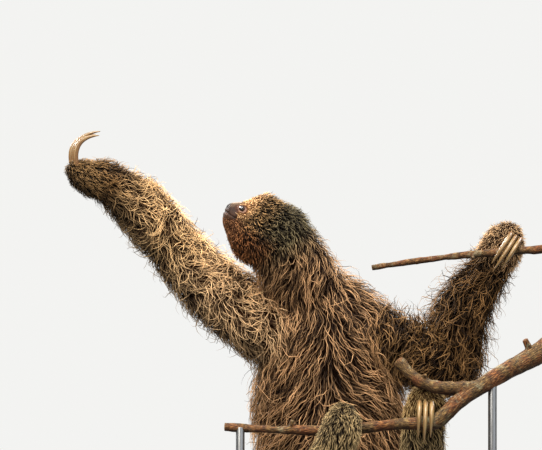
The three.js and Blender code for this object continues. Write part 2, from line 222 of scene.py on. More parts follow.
def line_of(name, stations):
    """A line of the body: smooth stations, the skin's half widths on them and the way the line runs."""
    rows = curve_through([[*row[:8], i] for i, row in enumerate(stations)], STATION_STEP)
    tones = np.array([np.concatenate(TONES[row[8]]) for row in stations])
    tones = np.stack([np.interp(rows[:, 8], np.arange(len(stations)), tone) for tone in tones.T], 1)
    centre = rows[:, :3]
    way = np.gradient(centre, axis=0)
    way /= np.linalg.norm(way, axis=1)[:, None]
    return {"name": name, "centre": centre, "way": way, "coat": rows[:, 5], "tuft": rows[:, 5:8],
            "across": rows[:, 3] - rows[:, 5], "deep": rows[:, 4] - rows[:, 5], "tones": tones}


LINES = [line_of(name, stations) for name, stations in (
    ("trunk", TRUNK), ("arm_right", ARM_RIGHT), ("arm_left", ARM_LEFT), ("leg_right", LEG_RIGHT),
    ("leg_left", LEG_LEFT), ("tail", TAIL))]


def from_line(line, points):
    """How far points lie from the skin of one line, and the place along the line that is nearest."""
    gaps, places = np.empty(len(points)), np.empty(len(points))
    for start in range(0, len(points), BATCH):
        part = slice(start, start + BATCH)
        batch = np.ascontiguousarray(points[part].T, np.float32)
        gaps[part], places[part] = from_line_batch(line, *batch)
    return gaps, places


def from_line_batch(line, x, y, z):
    """The same for one batch of points. Sections are ellipses, deep along the second axis."""
    best, place = np.full(len(x), FAR, np.float32), np.zeros(len(x), np.float32)
    centre, across = line["centre"], line["across"]
    squash = (across / line["deep"]) ** 2 - 1
    for i in range(len(centre) - 1):
        (ax, ay, az), (vx, vy, vz) = centre[i].tolist(), (centre[i + 1] - centre[i]).tolist()
        size = vx * vx + vy * vy + vz * vz
        dx, dy, dz = x - ax, y - ay, z - az
        t = np.minimum(np.maximum((dx * vx + dy * vy + dz * vz) / size, 0), 1)
        dx, dy, dz = dx - t * vx, dy - t * vy, dz - t * vz
        dy *= dy
        reach = dx * dx + dy + dz * dz + TINY
        stretched = np.sqrt(reach + dy * (squash[i].item() + t * (squash[i + 1] - squash[i]).item()))
        half = across[i].item() + t * (across[i + 1] - across[i]).item()
        gap = (stretched - half) * np.sqrt(reach) / stretched
        nearer = gap < best
        best = np.where(nearer, gap, best)
        place = np.where(nearer, i + t, place)
    return best, place


def at_place(table, place):
    """Values of a table of stations at places between them."""
    low = np.clip(place.astype(int), 0, len(table) - 2)
    t = (place - low).reshape(-1, *[1] * (table.ndim - 1))
    return table[low] * (1 - t) + table[low + 1] * t


# ---- The head ----

HEAD = {"origin": np.array([-144.0, -30.0, 638.0]), "pitch": 25, "yaw": 4}
PITCH, YAW = math.radians(HEAD["pitch"]), math.radians(HEAD["yaw"])
LEVEL = np.array([-math.cos(YAW), -math.sin(YAW), 0.0])
FORWARD = np.array([math.cos(PITCH) * LEVEL[0], math.cos(PITCH) * LEVEL[1], math.sin(PITCH)])
UPWARD = np.array([-math.sin(PITCH) * LEVEL[0], -math.sin(PITCH) * LEVEL[1], math.cos(PITCH)])
ASIDE = np.array([math.sin(YAW), -math.cos(YAW), 0.0])
HEAD_AXES = np.array([FORWARD, UPWARD, ASIDE])
# The head's sections from nape to nose: place, top, bottom and half width of the solids, then how far
# the skin lies inside them on top, below and at the sides. Less than nought is outside them.
HEAD_SECTIONS = np.array([
    (-102, 8, -34, 28, -2, 7, 7),
    (-80, 21, -44, 34, 1.5, 8, 7),
    (-62, 33, -60, 43, 8, 8, 8),
    (-42, 39, -68, 45, 11.5, 7, 8),
    (-24, 37, -65, 40, 7, 5, 7),
    (-11, 23, -57, 35, 2.6, 4, 5),
    (0, 11, -47, 28, 0.6, 2.5, 2.2),
    (8, 6, -39, 22.5, 0.1, 2, 0.8),
    (17, 1.5, -29, 16.5, 0, 1.2, 0),
    (22, -0.5, -21, 13, 0, 0.5, 0),
])
HEAD_STEP = 0.5  # between the sections worked out
NARROWER_ABOVE = 0.1  # how much narrower the head is above its middle than below
# Where the head begins to round off at each end, where it ends, and how squarely the nose does it.
NOSE_END = {"from": 14.0, "to": 21.2, "square": 2.6}
NAPE_END = {"from": -72.0, "to": -104.0}
FACE_REACH = {"back": -16, "out": 12}  # the face is modelled in front of this, and out to this
EYE = {"place": np.array([0.2, -1.4, 15.0]), "radius": 5.2}
# The lids: a ball over the eye with a slit in it, set a little forward and up, and a rim round the slit.
LID = {"radius": 6.1, "half_length": 4.4, "half_height": 3.4, "blend": 2.2, "shift": (0.6, 0.2),
       "rim": -0.45, "rim_at": 1.22, "rim_width": 0.2, "thick": 0.5, "from": -2}
# The line between the lips: its front end, its corner, its height in front, its bow and its fall.
MOUTH = {"front": 18.5, "corner": 3.6, "height": -13.8, "bow": 0.5, "fall": 2.8}

# The face is made of soft hills and hollows. Each has its depth first, less than nought for a hill, and
# then its middle and its width forward, up and aside, in millimetres from the head's origin.
NOSE_PAD = (-1.3, (19.8, 3.0), (-4.2, 4.2), (0, 7.0))
NOSE_FOLD = (0.5, (17.0, 1.6), (-1.5, 4.0), (0, 8.0))
NOSTRIL = {"depth": 3.0, "forward": (20.6, 3.2), "up": (-6.0, 1.35), "aside": (4.3, 2.1), "slant": 0.25}
GROOVE = {"depth": 0.5, "aside": 0.8, "forward": (15, 18), "up": (-11, 3.6)}
# Along the mouth: depth, height over the line between the lips, width, and where it fades in.
FADE_AT_CORNER = (MOUTH["corner"] - 1.5, MOUTH["corner"] + 2)
LIPS = {
    "line between them": (0.6, 0, 0.7, FADE_AT_CORNER),
    "upper lip": (-0.25, 2.6, 1.8, FADE_AT_CORNER),
    "step under the nose": (1.9, 0.2, 1.7, (12.5, 17.5)),
    "chin, forward": (-1.1, -4.6, 3.0, (8, 16)),
    "lower lip": (-0.4, -2.4, 1.9, FADE_AT_CORNER),
}
MOUTH_CORNER = {"depth": 1.2, "forward": 2.2, "up": 1.8}
TEAR_HOLLOW = {"depth": 1.5, "out": (8.6, 2.6), "fade": 4}
# Near the eye, from its own place: the depth, then middle and width upward and forward.
BROW = (-1.8, (7.8, 3.2), (-2, 8))
CHEEK = (-1.3, (-8.2, 3.4), (-1, 6))


def head_table():
    """The head's skin sections, close together and smooth: place, middle, half height and half width."""
    rows = HEAD_SECTIONS
    place = np.arange(rows[0, 0], rows[-1, 0] + 0.01, HEAD_STEP)
    slope = np.gradient(rows[:, 1:], rows[:, 0], axis=0)
    low = np.clip(np.searchsorted(rows[:, 0], place) - 1, 0, len(rows) - 2)
    span = (rows[low + 1, 0] - rows[low, 0])[:, None]
    t = (place[:, None] - rows[low, :1]) / span
    values = ((2 * t ** 3 - 3 * t ** 2 + 1) * rows[low, 1:]
              + (t ** 3 - 2 * t ** 2 + t) * span * slope[low]
              + (3 * t ** 2 - 2 * t ** 3) * rows[low + 1, 1:]
              + (t ** 3 - t ** 2) * span * slope[low + 1])
    top = values[:, 0] - values[:, 3]
    bottom = values[:, 1] + values[:, 4]
    half = values[:, 2] - values[:, 5]
    return place, (top + bottom) / 2, (top - bottom) / 2, half


HEAD_PLACE, HEAD_MIDDLE, HEAD_TALL, HEAD_WIDE = head_table()


def in_head(points):
    """Points in the head's own frame: forward, up and aside."""
    return (points - HEAD["origin"]) @ HEAD_AXES.T


def bell(value, width):
    """A smooth hump, one at nought."""
    return np.exp(-(value / width) ** 2)


def step_between(value, low, high):
    """Nought below low, one above high and smooth between."""
    t = np.clip((value - low) / (high - low), 0, 1)
    return t * t * (3 - 2 * t)


def union(first, second, soft):
    """The smooth union of two distances."""
    h = np.clip(0.5 + 0.5 * (second - first) / soft, 0, 1)
    return second + (first - second) * h - soft * h * (1 - h)


def mouth_line(forward):
    """Height of the line between the lips, which falls to the corner as it goes back."""
    t = np.clip((MOUTH["front"] - forward) / (MOUTH["front"] - MOUTH["corner"]), 0, 1)
    return MOUTH["height"] - MOUTH["bow"] * np.sin(math.pi * t) - MOUTH["fall"] * t


def from_head(points, features=True):
    """How far points lie from the skin of the head."""
    q = in_head(points)
    f, u, s = q.T
    middle = np.interp(f, HEAD_PLACE, HEAD_MIDDLE)
    tall = np.interp(f, HEAD_PLACE, HEAD_TALL)
    wide = np.interp(f, HEAD_PLACE, HEAD_WIDE)
    rise = (u - middle) / tall
    fuller = 1 - NARROWER_ABOVE * rise / np.sqrt(rise ** 2 + (s / wide) ** 2 + TINY)
    across = s / (wide * fuller)
    front = np.clip((f - NOSE_END["from"]) / (NOSE_END["to"] - NOSE_END["from"]), 0, None)
    rear = np.clip((f - NAPE_END["from"]) / (NAPE_END["to"] - NAPE_END["from"]), 0, None)
    reach = np.sqrt(rise ** 2 + across ** 2 + front ** NOSE_END["square"] + rear ** 2 + LEAST)
    size = np.minimum(tall, wide)
    gap = (reach - 1) * size
    if not features:
        return gap
    close = (f > FACE_REACH["back"]) & (gap < FACE_REACH["out"])
    if close.any():
        gap[close] = sculpt_face(gap[close], f[close], u[close], s[close])
    return gap


def sculpt_face(gap, f, u, side):
    """Raises and sinks the face: nose pad, nostrils, lips, brow, and lids round the eyes."""
    s = np.abs(side)
    for depth, forward, upward, aside in (NOSE_PAD, NOSE_FOLD):
        gap = gap + (depth * bell(f - forward[0], forward[1]) * bell(u - upward[0], upward[1])
                     * bell(s - aside[0], aside[1]))
    (ahead, long), (height, tall), (apart, wide) = (NOSTRIL[way] for way in ("forward", "up", "aside"))
    over = u - height - NOSTRIL["slant"] * (s - apart)
    gap = gap + NOSTRIL["depth"] * bell(f - ahead, long) * bell(over, tall) * bell(s - apart, wide)
    gap = gap + (GROOVE["depth"] * bell(side, GROOVE["aside"]) * step_between(f, *GROOVE["forward"])
                 * bell(u - GROOVE["up"][0], GROOVE["up"][1]))
    line = mouth_line(f)
    for depth, height, width, fade in LIPS.values():
        gap = gap + depth * bell(u - line - height, width) * step_between(f, *fade)
    gap = gap + (MOUTH_CORNER["depth"] * bell(f - MOUTH["corner"], MOUTH_CORNER["forward"])
                 * bell(u - line, MOUTH_CORNER["up"]))
    eye_f, eye_u, eye_s = EYE["place"]
    from_eye = np.sqrt((f - eye_f) ** 2 + (u - eye_u) ** 2 + (s - eye_s) ** 2)
    fade = TEAR_HOLLOW["fade"]
    gap = gap + (TEAR_HOLLOW["depth"] * bell(from_eye - TEAR_HOLLOW["out"][0], TEAR_HOLLOW["out"][1])
                 * step_between(f, eye_f - fade, eye_f + fade))
    for depth, upward, forward in (BROW, CHEEK):
        gap = gap + (depth * bell(u - eye_u - upward[0], upward[1])
                     * bell(f - eye_f - forward[0], forward[1]))
    gap = union(gap, from_eye - LID["radius"], LID["blend"])
    along, over = f - eye_f - LID["shift"][0], u - eye_u - LID["shift"][1]
    edge = np.hypot(along / LID["half_length"], over / LID["half_height"])
    gap = gap + LID["rim"] * bell(edge - LID["rim_at"], LID["rim_width"]) * (s > eye_s)
    corner = np.abs(along) / LID["half_length"]
    height = LID["half_height"] * np.sqrt(np.clip(1 - corner ** 2, 0, 1))
    slit = np.maximum(np.abs(over) - height, np.abs(along) - LID["half_length"])
    outside = s - eye_s
    opening = np.maximum(slit, LID["thick"] - outside)
    return np.where(outside > LID["from"], np.maximum(gap, -opening), gap)


# ---- The skin's field ----

LIMB_BLEND = 14.0  # how softly the lines of the body grow into each other
HEAD_BLEND = 0.6 * LIMB_BLEND
GRID_STEP = 4.7
GRID_MARGIN = 46.0  # how far out from a line its distance is worked out
# Where the head's distance is worked out: a box in the head's own frame, and its corners on the grid.
HEAD_BOX = {"middle": np.array([-40, -12, 0]), "half": np.array([64, 56, 48])}
HEAD_CORNERS = [[f, u, s] for f in (-108, 24) for u in (-72, 42) for s in (-48, 48)]
HEAD_MARGIN = 30


def box_of(line):
    """The low and high corners of the box in which a line's distance is worked out."""
    centre, widest = line["centre"], line["across"].max()
    return centre.min(0) - widest - GRID_MARGIN, centre.max(0) + widest + GRID_MARGIN


def from_skin(points, features=True):
    """How far points lie outside the skin of the whole animal."""
    gap = np.full(len(points), FAR)
    for line in LINES:
        low, high = box_of(line)
        near = ((points > low) & (points < high)).all(1)
        if near.any():
            gap[near] = union(gap[near], from_line(line, points[near])[0], LIMB_BLEND)
    near = (np.abs(in_head(points) - HEAD_BOX["middle"]) < HEAD_BOX["half"] + GRID_MARGIN).all(1)
    if near.any():
        gap[near] = union(gap[near], from_head(points[near], features), HEAD_BLEND)
    return gap


def slope_of(points, reach=0.25):
    """The distance from the skin, and the direction in which it grows."""
    here = from_skin(points)
    grown = [from_skin(points + step) for step in np.eye(3) * reach]
    rise = np.stack([(g - here) / reach for g in grown], 1)
    return here, rise


GRID_LOW = np.array([-440.0, -250.0, 70.0])
GRID_HIGH = np.array([300.0, 180.0, 780.0])
GRID_SHAPE = np.ceil((GRID_HIGH - GRID_LOW) / GRID_STEP).astype(int) + 1


def make_grid():
    """The skin's distance at the points of a grid, each line worked out only near itself."""
    field = np.full(GRID_SHAPE, FAR, np.float32)
    boxes = [(*box_of(line), line) for line in LINES]
    corners = np.array(HEAD_CORNERS) @ HEAD_AXES + HEAD["origin"]
    boxes.append((corners.min(0) - HEAD_MARGIN, corners.max(0) + HEAD_MARGIN, None))
    for low, high, line in boxes:
        first = np.clip(np.floor((low - GRID_LOW) / GRID_STEP).astype(int), 0, GRID_SHAPE - 1)
        last = np.clip(np.ceil((high - GRID_LOW) / GRID_STEP).astype(int), 0, GRID_SHAPE - 1) + 1
        box = tuple(slice(a, b) for a, b in zip(first, last))
        axes = [GRID_LOW[i] + GRID_STEP * np.arange(first[i], last[i]) for i in range(3)]
        points = np.stack(np.meshgrid(*axes, indexing="ij"), -1).reshape(-1, 3)
        gap = from_line(line, points)[0] if line else from_head(points, False)
        soft = LIMB_BLEND if line else HEAD_BLEND
        shape = field[box].shape
        field[box] = union(field[box].reshape(-1), gap, soft).reshape(shape)
    return field


def look_up(grids, points):
    """Values of grids at points, straight-line between the grid's own points."""
    place = (points - GRID_LOW) / GRID_STEP
    low = np.clip(np.floor(place).astype(int), 0, GRID_SHAPE - 2)
    t = np.clip(place - low, 0, 1)
    made = np.zeros((len(points), len(grids)))
    for corner in range(8):
        bit = np.array([corner >> 2 & 1, corner >> 1 & 1, corner & 1])
        weight = np.prod(np.where(bit, t, 1 - t), 1)
        index = low + bit
        for k, grid in enumerate(grids):
            made[:, k] += weight * grid[index[:, 0], index[:, 1], index[:, 2]]
    return made


def net_over(field):
    """A net of four-sided faces over the surface where the field is nought.

    Each cell of the grid that the surface passes through gets a point, in the middle of its crossings.
    Each edge of the grid that it crosses gets a face, through the four cells round it.
    """
    inside = field < 0
    cells = np.array(field.shape) - 1

    def cut(array, offset):
        return array[tuple(slice(o, o + n) for o, n in zip(offset, cells))]

    corners = [np.array([c >> 2 & 1, c >> 1 & 1, c & 1]) for c in range(8)]
    count = sum(cut(inside, corner).astype(np.int8) for corner in corners)
    active = np.argwhere((count > 0) & (count < 8))
    number = np.full(cells, -1)
    number[tuple(active.T)] = np.arange(len(active))
    total, crossings = np.zeros((len(active), 3)), np.zeros(len(active))
    axes = np.eye(3, dtype=int)
    for a in corners:
        for axis in range(3):
            if a[axis]:
                continue
            b = a + axes[axis]
            fa, fb = field[tuple((active + a).T)], field[tuple((active + b).T)]
            crossed = (fa < 0) != (fb < 0)
            t = np.where(crossed, fa / np.where(crossed, fa - fb, 1), 0)
            total += np.where(crossed[:, None], a + t[:, None] * (b - a), 0)
            crossings += crossed
    points = GRID_LOW + GRID_STEP * (active + total / crossings[:, None])
    faces = []
    here = cut(inside, (0, 0, 0))
    for axis in range(3):
        second, third = axes[(axis + 1) % 3], axes[(axis + 2) % 3]
        edge = np.argwhere(here != cut(inside, axes[axis]))
        edge = edge[(edge @ second > 0) & (edge @ third > 0)]
        ring = [number[tuple((edge - i * second - j * third).T)]
                for i, j in ((0, 0), (1, 0), (1, 1), (0, 1))]
        quads = np.stack(ring, 1)
        outward = here[tuple(edge.T)]
        quads[~outward] = quads[~outward][:, ::-1]
        faces.append(quads)
    return points, np.concatenate(faces)


# ---- Meshes ----

def mesh_object(name, points, faces):
    """A smooth object from points in millimetres and faces of one size, or a list of such sets."""
    mesh = bpy.data.meshes.new(name)
    groups = faces if isinstance(faces, list) else [faces]
    corners = np.concatenate([group.reshape(-1) for group in groups])
    sizes = np.concatenate([np.full(len(group), group.shape[1]) for group in groups])
    mesh.vertices.add(len(points))
    move_points(mesh, points)
    mesh.loops.add(len(corners))
    mesh.loops.foreach_set("vertex_index", corners.astype(np.int32))
    mesh.polygons.add(len(sizes))
    mesh.polygons.foreach_set("loop_start", (np.cumsum(sizes) - sizes).astype(np.int32))
    shade_smooth(mesh)
    mesh.update(calc_edges=True)
    made = bpy.data.objects.new(name, mesh)
    bpy.context.scene.collection.objects.link(made)
    return made


def points_of(mesh):
    """The points of a mesh, in millimetres."""
    made = np.empty(len(mesh.vertices) * 3, np.float32)
    mesh.vertices.foreach_get("co", made)
    return made.reshape(-1, 3).astype(float) / MM


def move_points(mesh, points):
    """Puts the points of a mesh at places in millimetres."""
    mesh.vertices.foreach_set("co", (points * MM).astype(np.float32).reshape(-1))


def shade_smooth(mesh):
    """Smooth shading on every face."""
    mesh.polygons.foreach_set("use_smooth", np.full(len(mesh.polygons), True))


def set_attribute(mesh, name, kind, values):
    """A named value on each point of a mesh."""
    key = {"FLOAT_COLOR": "color", "FLOAT_VECTOR": "vector", "FLOAT": "value"}[kind]
    mesh.attributes.new(name, kind, "POINT").data.foreach_set(key, values.astype(np.float32).reshape(-1))


def only(*objects):
    """Selects these objects alone, the first one active."""
    bpy.ops.object.select_all(action="DESELECT")
    for one in objects:
        one.select_set(True)
    bpy.context.view_layer.objects.active = objects[0]


def dressed(piece, slot, material, *replaced):
    """Puts a finished piece on the body with its material, and hides the parts that it replaces."""
    piece.data.materials.clear()
    piece.data.materials.append(material)
    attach(piece, BODY)
    if replaced:
        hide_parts(*replaced)
    return piece


# ---- Where things are on the body ----

# Where the bare muzzle begins: for each height on the head, how far forward.
BARE_EDGE = np.array([(-30, 9.5), (-23, 8.5), (-19, 3.4), (-12, 3.6), (-6, 4.2), (0, 5.2), (6, 4.6),
                      (12, 3.0), (30, 2.0)])
# How soft that edge is, how far down the bare lower lip reaches behind and how much more in front, and
# the bare ring round the eye. Nothing is bare behind the last place.
BARE = {"soft": 1.2, "lip": 2.2, "lip_more": 5.6, "lip_front": (5, 14), "lip_soft": 0.7,
        "ring": (5.6, 6.8), "ring_squash": (0.75, 0.2), "ring_out": 2, "back": -14}
# How the body's lines and the head share in what is near them: over what distance a share falls, the
# head's own weight, and how far off a thing still counts.
SHARE = {"line": 7, "head": 5, "head_weight": 1.6, "most": 400, "head_middle": -40, "head_half": 110}


def bare_share(points):
    """How bare the face is: one on the muzzle and round the eye, nought under the coat."""
    f, u, s = in_head(points).T
    edge = np.interp(u, *BARE_EDGE.T)
    lip = BARE["lip"] + BARE["lip_more"] * step_between(f, *BARE["lip_front"])
    soft, lip_soft = BARE["soft"], BARE["lip_soft"]
    muzzle = (step_between(f - edge, -soft, soft)
              * step_between(u - mouth_line(f), -lip - lip_soft, -lip + lip_soft))
    eye_f, eye_u, eye_s = EYE["place"]
    along, aside = BARE["ring_squash"]
    from_eye = np.sqrt((f - eye_f - LID["shift"][0]) ** 2 * along + (u - eye_u) ** 2
                       + (np.abs(s) - eye_s - BARE["ring_out"]) ** 2 * aside)
    return np.maximum(muzzle, 1 - step_between(from_eye, *BARE["ring"])) * (f > BARE["back"])


def blend_over_lines(points, of_line, of_head):
    """Values blended between the lines of the body by how near each is, the head's own included."""
    total, weights = 0.0, 0.0
    for line in LINES:
        gap, place = from_line(line, points)
        weight = np.exp(-np.clip(gap, 0, SHARE["most"]) / SHARE["line"])[:, None] + LEAST
        total, weights = total + weight * of_line(line, place, points), weights + weight
    q = in_head(points)
    gap = from_head(points, False)
    gap = np.where(np.abs(q[:, 0] - SHARE["head_middle"]) > SHARE["head_half"], SHARE["most"], gap)
    weight = np.exp(-np.clip(gap, 0, SHARE["most"]) / SHARE["head"])[:, None] * SHARE["head_weight"]
    return (total + weight * of_head(q)) / (weights + weight)


HEAD_TUFTS = np.array([  # place, coat depth, tuft length, tuft width
    (-102, 12, 19, 2.3), (-80, 11, 14, 2.2), (-60, 9.5, 13, 2.1), (-42, 8, 12, 2.1), (-24, 6.5, 11.5, 2.0),
    (-11, 3.8, 9, 1.8), (0, 1.9, 5.5, 1.4), (10, 1.4, 3.6, 1.0), (22, 1.0, 3.0, 0.9),
])
JOWL = {"slope": 0.25, "from": 20, "most": 30}  # the hair is longer down the cheek, as if further back


def head_tufts(q):
    """Coat depth, tuft length and tuft width over the head."""
    place = q[:, 0] - JOWL["slope"] * np.clip(-q[:, 1] - JOWL["from"], 0, JOWL["most"])
    return np.stack([np.interp(place, HEAD_TUFTS[:, 0], HEAD_TUFTS[:, i]) for i in (1, 2, 3)], 1)


def tufts_at(points):
    """Coat depth, tuft length and tuft width at points on the skin."""
    return blend_over_lines(points, lambda line, place, _: at_place(line["tuft"], place), head_tufts)


def waves(points, size, seed, count=5):
    """Smooth noise from about minus one to one, whose features are about size millimetres across."""
    draw = np.random.default_rng(seed)
    ways = draw.normal(size=(count, 3))
    ways *= (draw.uniform(0.6, 1.6, count) / np.linalg.norm(ways, axis=1) * math.pi / size)[:, None]
    return np.sin(points @ ways.T + draw.uniform(0, 6.28, count)).sum(1) / math.sqrt(count) / 1.1


# Where each tone of the head fades in, where it fades out again, and how its edge leans.
HEAD_TONES = {
    "grizzle": {"back": (22, 54), "lean": 0.35},
    "rust": {"down": (6, 34), "lean": 0.12, "out": (42, 76)},
    "golden": {"forward": (-20, -5), "lean": 0.35, "out": (8, 22)},
    "chin": {"forward": (-14, 2), "down": (12, 20)},
}


def head_tones(q):
    """The tones of the head: golden brow and face, rust cheek and chin, dark grizzled crown and nape."""
    f, u, _ = q.T
    grizzle, rust, golden, chin = HEAD_TONES.values()
    back = step_between(-f - grizzle["lean"] * u, *grizzle["back"])
    low = step_between(-u + rust["lean"] * f, *rust["down"]) * (1 - step_between(-f, *rust["out"]))
    front = step_between(f + golden["lean"] * u, *golden["forward"])
    front = front * (1 - step_between(-u, *golden["out"]))
    under = step_between(f, *chin["forward"]) * step_between(-u, *chin["down"])
    made = np.concatenate(TONES["crown"])
    for name, share in zip(HEAD_TONES, (back, low, front, under)):
        made = made * (1 - share[:, None]) + np.concatenate(TONES[name]) * share[:, None]
    return made


BACK_FROM = (5, 60)  # how far behind the trunk's middle its back's tone begins and is full
# Painted shade under the raised right arm: which way is below, how much darker, and over what edge.
PAINTED_SHADE_BELOW = {"way": np.array([-0.66, -0.12, -0.74]), "darker": 0.76, "edge": (0.08, 0.85)}
BLOTCHES = ((34, 11, 0.16), (13, 12, 0.1))  # of the whole coat: size, seed and strength


def line_tones(line, place, points):
    """The tones along a line of the body: greyer behind on the trunk, and darker below on the raised arm as
    painted shade.
    """
    made = at_place(line["tones"], place)
    centre = at_place(line["centre"], place)
    if line["name"] == "trunk":
        behind = step_between(points[:, 1] - centre[:, 1], *BACK_FROM)[:, None]
        made = made * (1 - behind) + np.concatenate(TONES["back"]) * behind
    if line["name"] == "arm_right":
        # Painted shade: the coat on the raised arm's underside is darkened.
        under = (points - centre) @ PAINTED_SHADE_BELOW["way"] / at_place(line["across"], place)
        made = made * (1 - PAINTED_SHADE_BELOW["darker"] * step_between(under, *PAINTED_SHADE_BELOW["edge"]))[:, None]
    return made


def tones_at(points):
    """Deep and tip colours of the coat at points on the skin."""
    made = blend_over_lines(points, line_tones, head_tones)
    blotch = 1
    for size, seed, strength in BLOTCHES:
        blotch = blotch + strength * waves(points, size, seed)[:, None]
    return made * blotch


# The trunk's hair hangs, combed aside from a line down the belly and from the spine: where that line is,
# how wide the change is, which way and how far it is combed, and how much of that is on the chest.
PARTING = {"place": -24.0, "width": 26, "way": np.array([1.0, 0.35, 0.0]), "strength": 0.75,
           "chest": (0.4, 0.6), "edge": (560, 470)}
PULLED_DOWN = {"arm_right": 0.3, "arm_left": 1.15, "leg_right": 0.9, "leg_left": 0.9, "tail": 0.2}
# On the head it hangs too, more on the cheeks and nape, and spreads aside below.
HANGING = {"least": 0.35, "more": 0.9, "below": (-6, 30), "behind": (-8, 26), "aside": 0.25,
           "aside_from": (-10, 20)}


def line_flow(line, place, points):
    """The way the hair lies along a line of the body."""
    name = line["name"]
    if name == "trunk":
        middle = at_place(line["centre"], place)
        front = points[:, 1] < middle[:, 1]
        aside = points[:, 0] - np.where(front, PARTING["place"], middle[:, 0])
        spread = np.tanh(aside / PARTING["width"])[:, None] * PARTING["way"]
        least, more = PARTING["chest"]
        combed = (least + more * step_between(middle[:, 2], *PARTING["edge"]))[:, None]
        return DOWN + PARTING["strength"] * spread * combed
    to_body = -at_place(line["way"], place)
    way = -to_body if name == "tail" else to_body
    return way + PULLED_DOWN[name] * DOWN


def head_flow(q):
    """The way the hair lies on the head: back from the nose, then down the cheeks and nape."""
    f, u, s = q.T
    low = step_between(-u, *HANGING["below"]) * step_between(-f, *HANGING["behind"])
    down = DOWN * (HANGING["least"] + HANGING["more"] * low)[:, None]
    spread = HANGING["aside"] * step_between(u, *HANGING["aside_from"])
    return -FORWARD + down + np.sign(s)[:, None] * ASIDE * spread[:, None]


def flow_at(points):
    """The way the hair lies at points on or over the skin."""
    return blend_over_lines(points, line_flow, head_flow)


# ---- The skin ----

EYE_OUT = np.array([0, 0, 3])  # from the middle of the eye to the skin over it


def near_eye(q):
    """How far points of the head are from the nearer eye."""
    return np.linalg.norm(q * [1, 1, 0] + np.abs(q) * [0, 0, 1] - EYE["place"] - EYE_OUT, axis=1)


FACE_REGIONS = [  # each is made finer in turn: the head's front, the muzzle, and round the features
    lambda q: q[:, 0] > -20,
    lambda q: q[:, 0] > -11,
    lambda q: (near_eye(q) < 9.5) | ((q[:, 0] > 4) & (q[:, 1] > -22)),
]
FLATTEST = 0.05  # added to a slope's square, so that a flat place moves no point far
SETTLING = {"body": (2, 2.0), "face": (5, 0.5)}  # rounds, and the furthest move in each
UNWRAP = {"angle": 66, "margin": 0.004}
FLESH = ["trunk", "muzzle", "head", "neck", "tail"] + [
    f"{part}_{side}" for part in ("upper_arm", "forearm", "thigh", "shank", "hand", "foot")
    for side in ("right", "left")]


def settle(points, rounds, most):
    """Moves points onto the skin's surface, in rounds of at most so many millimetres each."""
    for _ in range(rounds):
        here, rise = slope_of(points)
        size = np.einsum("ij,ij->i", rise, rise) + FLATTEST
        points = points - np.clip(here / size, -most, most)[:, None] * rise
    return points


def make_skin(field):
    """One skin for the whole animal, finest on the face, with its own unwrap."""
    points, faces = net_over(field)
    skin = mesh_object("skin", points, faces)
    move_points(skin.data, settle(points, *SETTLING["body"]))
    for region in FACE_REGIONS:
        work = bmesh.new()
        work.from_mesh(skin.data)
        inside = region(in_head(points_of(skin.data)))
        work.verts.ensure_lookup_table()
        edges = [e for e in work.edges if inside[e.verts[0].index] and inside[e.verts[1].index]]
        bmesh.ops.subdivide_edges(work, edges=edges, cuts=1, use_grid_fill=True)
        bmesh.ops.triangulate(work, faces=[face for face in work.faces if len(face.verts) > 4])
        work.to_mesh(skin.data)
        work.free()
        points = points_of(skin.data)
        on_face = region(in_head(points))
        points[on_face] = settle(points[on_face], *SETTLING["face"])
        move_points(skin.data, points)
    shade_smooth(skin.data)
    only(skin)
    bpy.ops.object.mode_set(mode="EDIT")
    bpy.ops.mesh.select_all(action="SELECT")
    bpy.ops.uv.smart_project(angle_limit=math.radians(UNWRAP["angle"]), island_margin=UNWRAP["margin"])
    bpy.ops.object.mode_set(mode="OBJECT")
    skin.data.uv_layers[0].name = "OFBake"
    points = points_of(skin.data)
    tones = tones_at(points)
    set_attribute(skin.data, "deep", "FLOAT_COLOR", np.hstack([tones[:, :3], np.ones((len(points), 1))]))
    set_attribute(skin.data, "face", "FLOAT_COLOR", face_colours(points))
    set_attribute(skin.data, "bare", "FLOAT", bare_share(points))
    return skin


# The bare face's colours: down is a painted highlight along the top and front of the nose, and dark is painted
# shade.
FACE = {name: np.array(linear(code)) for name, code in {
    "muzzle": "#33221a", "bridge": "#66523f", "down": "#b9a796", "pad": "#1b110d", "lip": "#553a2b",
    "lower lip": "#4d3628", "dark": "#0a0505", "lid": "#8a6a5a", "ring": "#43210f"}.items()}


